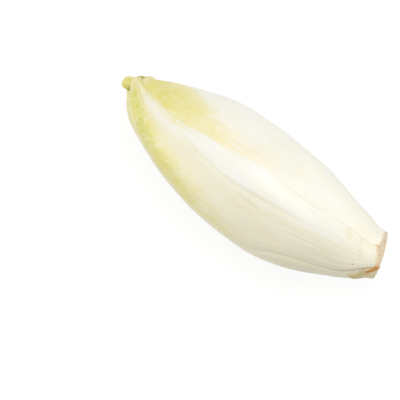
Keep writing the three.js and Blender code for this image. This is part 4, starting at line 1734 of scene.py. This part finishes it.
corners = [(x * FLOOR_HALF, y * FLOOR_HALF, 0) for x, y in ((-1, -1), (1, -1), (1, 1), (-1, 1))]
floor_mesh = bpy.data.meshes.new("floor")
floor_mesh.from_pydata(corners, [], [(0, 1, 2, 3)])
floor = in_scene("floor", floor_mesh)
print("floor:", 2 * FLOOR_HALF, "metres square")

# %% Its paper
FLOOR_GREY = srgb(208, 208, 205)
PAPER_GLOW, PAPER_SHARE = 1.12, 0.8

floor_material, tree, shader = new_material("pale_floor")
fill(shader, {"Base Color": FLOOR_GREY, "Roughness": 0.95, "Specular IOR Level": 0.0})
paper = add_node(tree, "ShaderNodeEmission", {"Color": (1, 1, 1, 1), "Strength": PAPER_GLOW})
looks = add_node(tree, "ShaderNodeLightPath").outputs
reflected = Wire(looks["Is Glossy Ray"]).at_least(Wire(looks["Is Transmission Ray"]))
any_look = Wire(looks["Is Camera Ray"]).at_least(reflected)
both = add_node(tree, "ShaderNodeMixShader", {
    "Fac": any_look * PAPER_SHARE, 1: Wire(shader.outputs["BSDF"]), 2: Wire(paper.outputs[0]),
})
surface = next(node for node in tree.nodes if node.bl_idname == "ShaderNodeOutputMaterial")
fill(surface, {"Surface": Wire(both.outputs["Shader"])})
floor_mesh.materials.append(floor_material)
print("floor material:", len(tree.nodes), "nodes")

# %% [markdown]
# ## Soft light
#
# Food is lit softly, so that pale leaves keep their modelling. A large lamp overhead and one
# from behind give the broad light. A small weak one, low at the front left, brightens the side
# that faces the viewer. The pale world fills the shadows: it shows white to the camera but
# lights the head at about half that. A sun lamp would be simpler, but its shadows are hard.

# %% Lamps
LAMPS = [
    {"name": "soft_top", "place": (0.1, 0.1, 1.5), "size": 0.9, "power": 10.1},
    {"name": "soft_back", "place": (0.8, 1.1, 0.9), "size": 0.9, "power": 4.6},
    {"name": "small_side", "place": (-0.25, -0.27, 0.06), "size": 0.2, "power": 0.34},
]


def lamp(name, place, size, power):
    """A square area lamp that faces the middle of the head."""
    light = bpy.data.lights.new(name, "AREA")
    light.energy = power
    light.size = size
    holder = in_scene(name, light)
    holder.location = place
    holder.rotation_euler = (Vector(place) - middle).to_track_quat("Z", "Y").to_euler()


for settings in LAMPS:
    lamp(**settings)
print("lamps:", [settings["name"] for settings in LAMPS])

# %% World
WORLD_LEVEL = 0.49

world = bpy.data.worlds.new("studio")
world.use_nodes = True
sky = world.node_tree
seen = Wire(add_node(sky, "ShaderNodeLightPath").outputs["Is Camera Ray"])
brightness = seen * (1 - WORLD_LEVEL) + WORLD_LEVEL
fill(sky.nodes["Background"], {"Color": (1, 1, 1, 1), "Strength": brightness})
bpy.context.scene.world = world
bpy.context.scene.view_settings.view_transform = "Standard"
print("the world lights the head at", WORLD_LEVEL, "and shows white to the camera")

# %% [markdown]
# ## Sizes and the end
#
# The fine surface may stand a little proud of the plain solids, but no more.
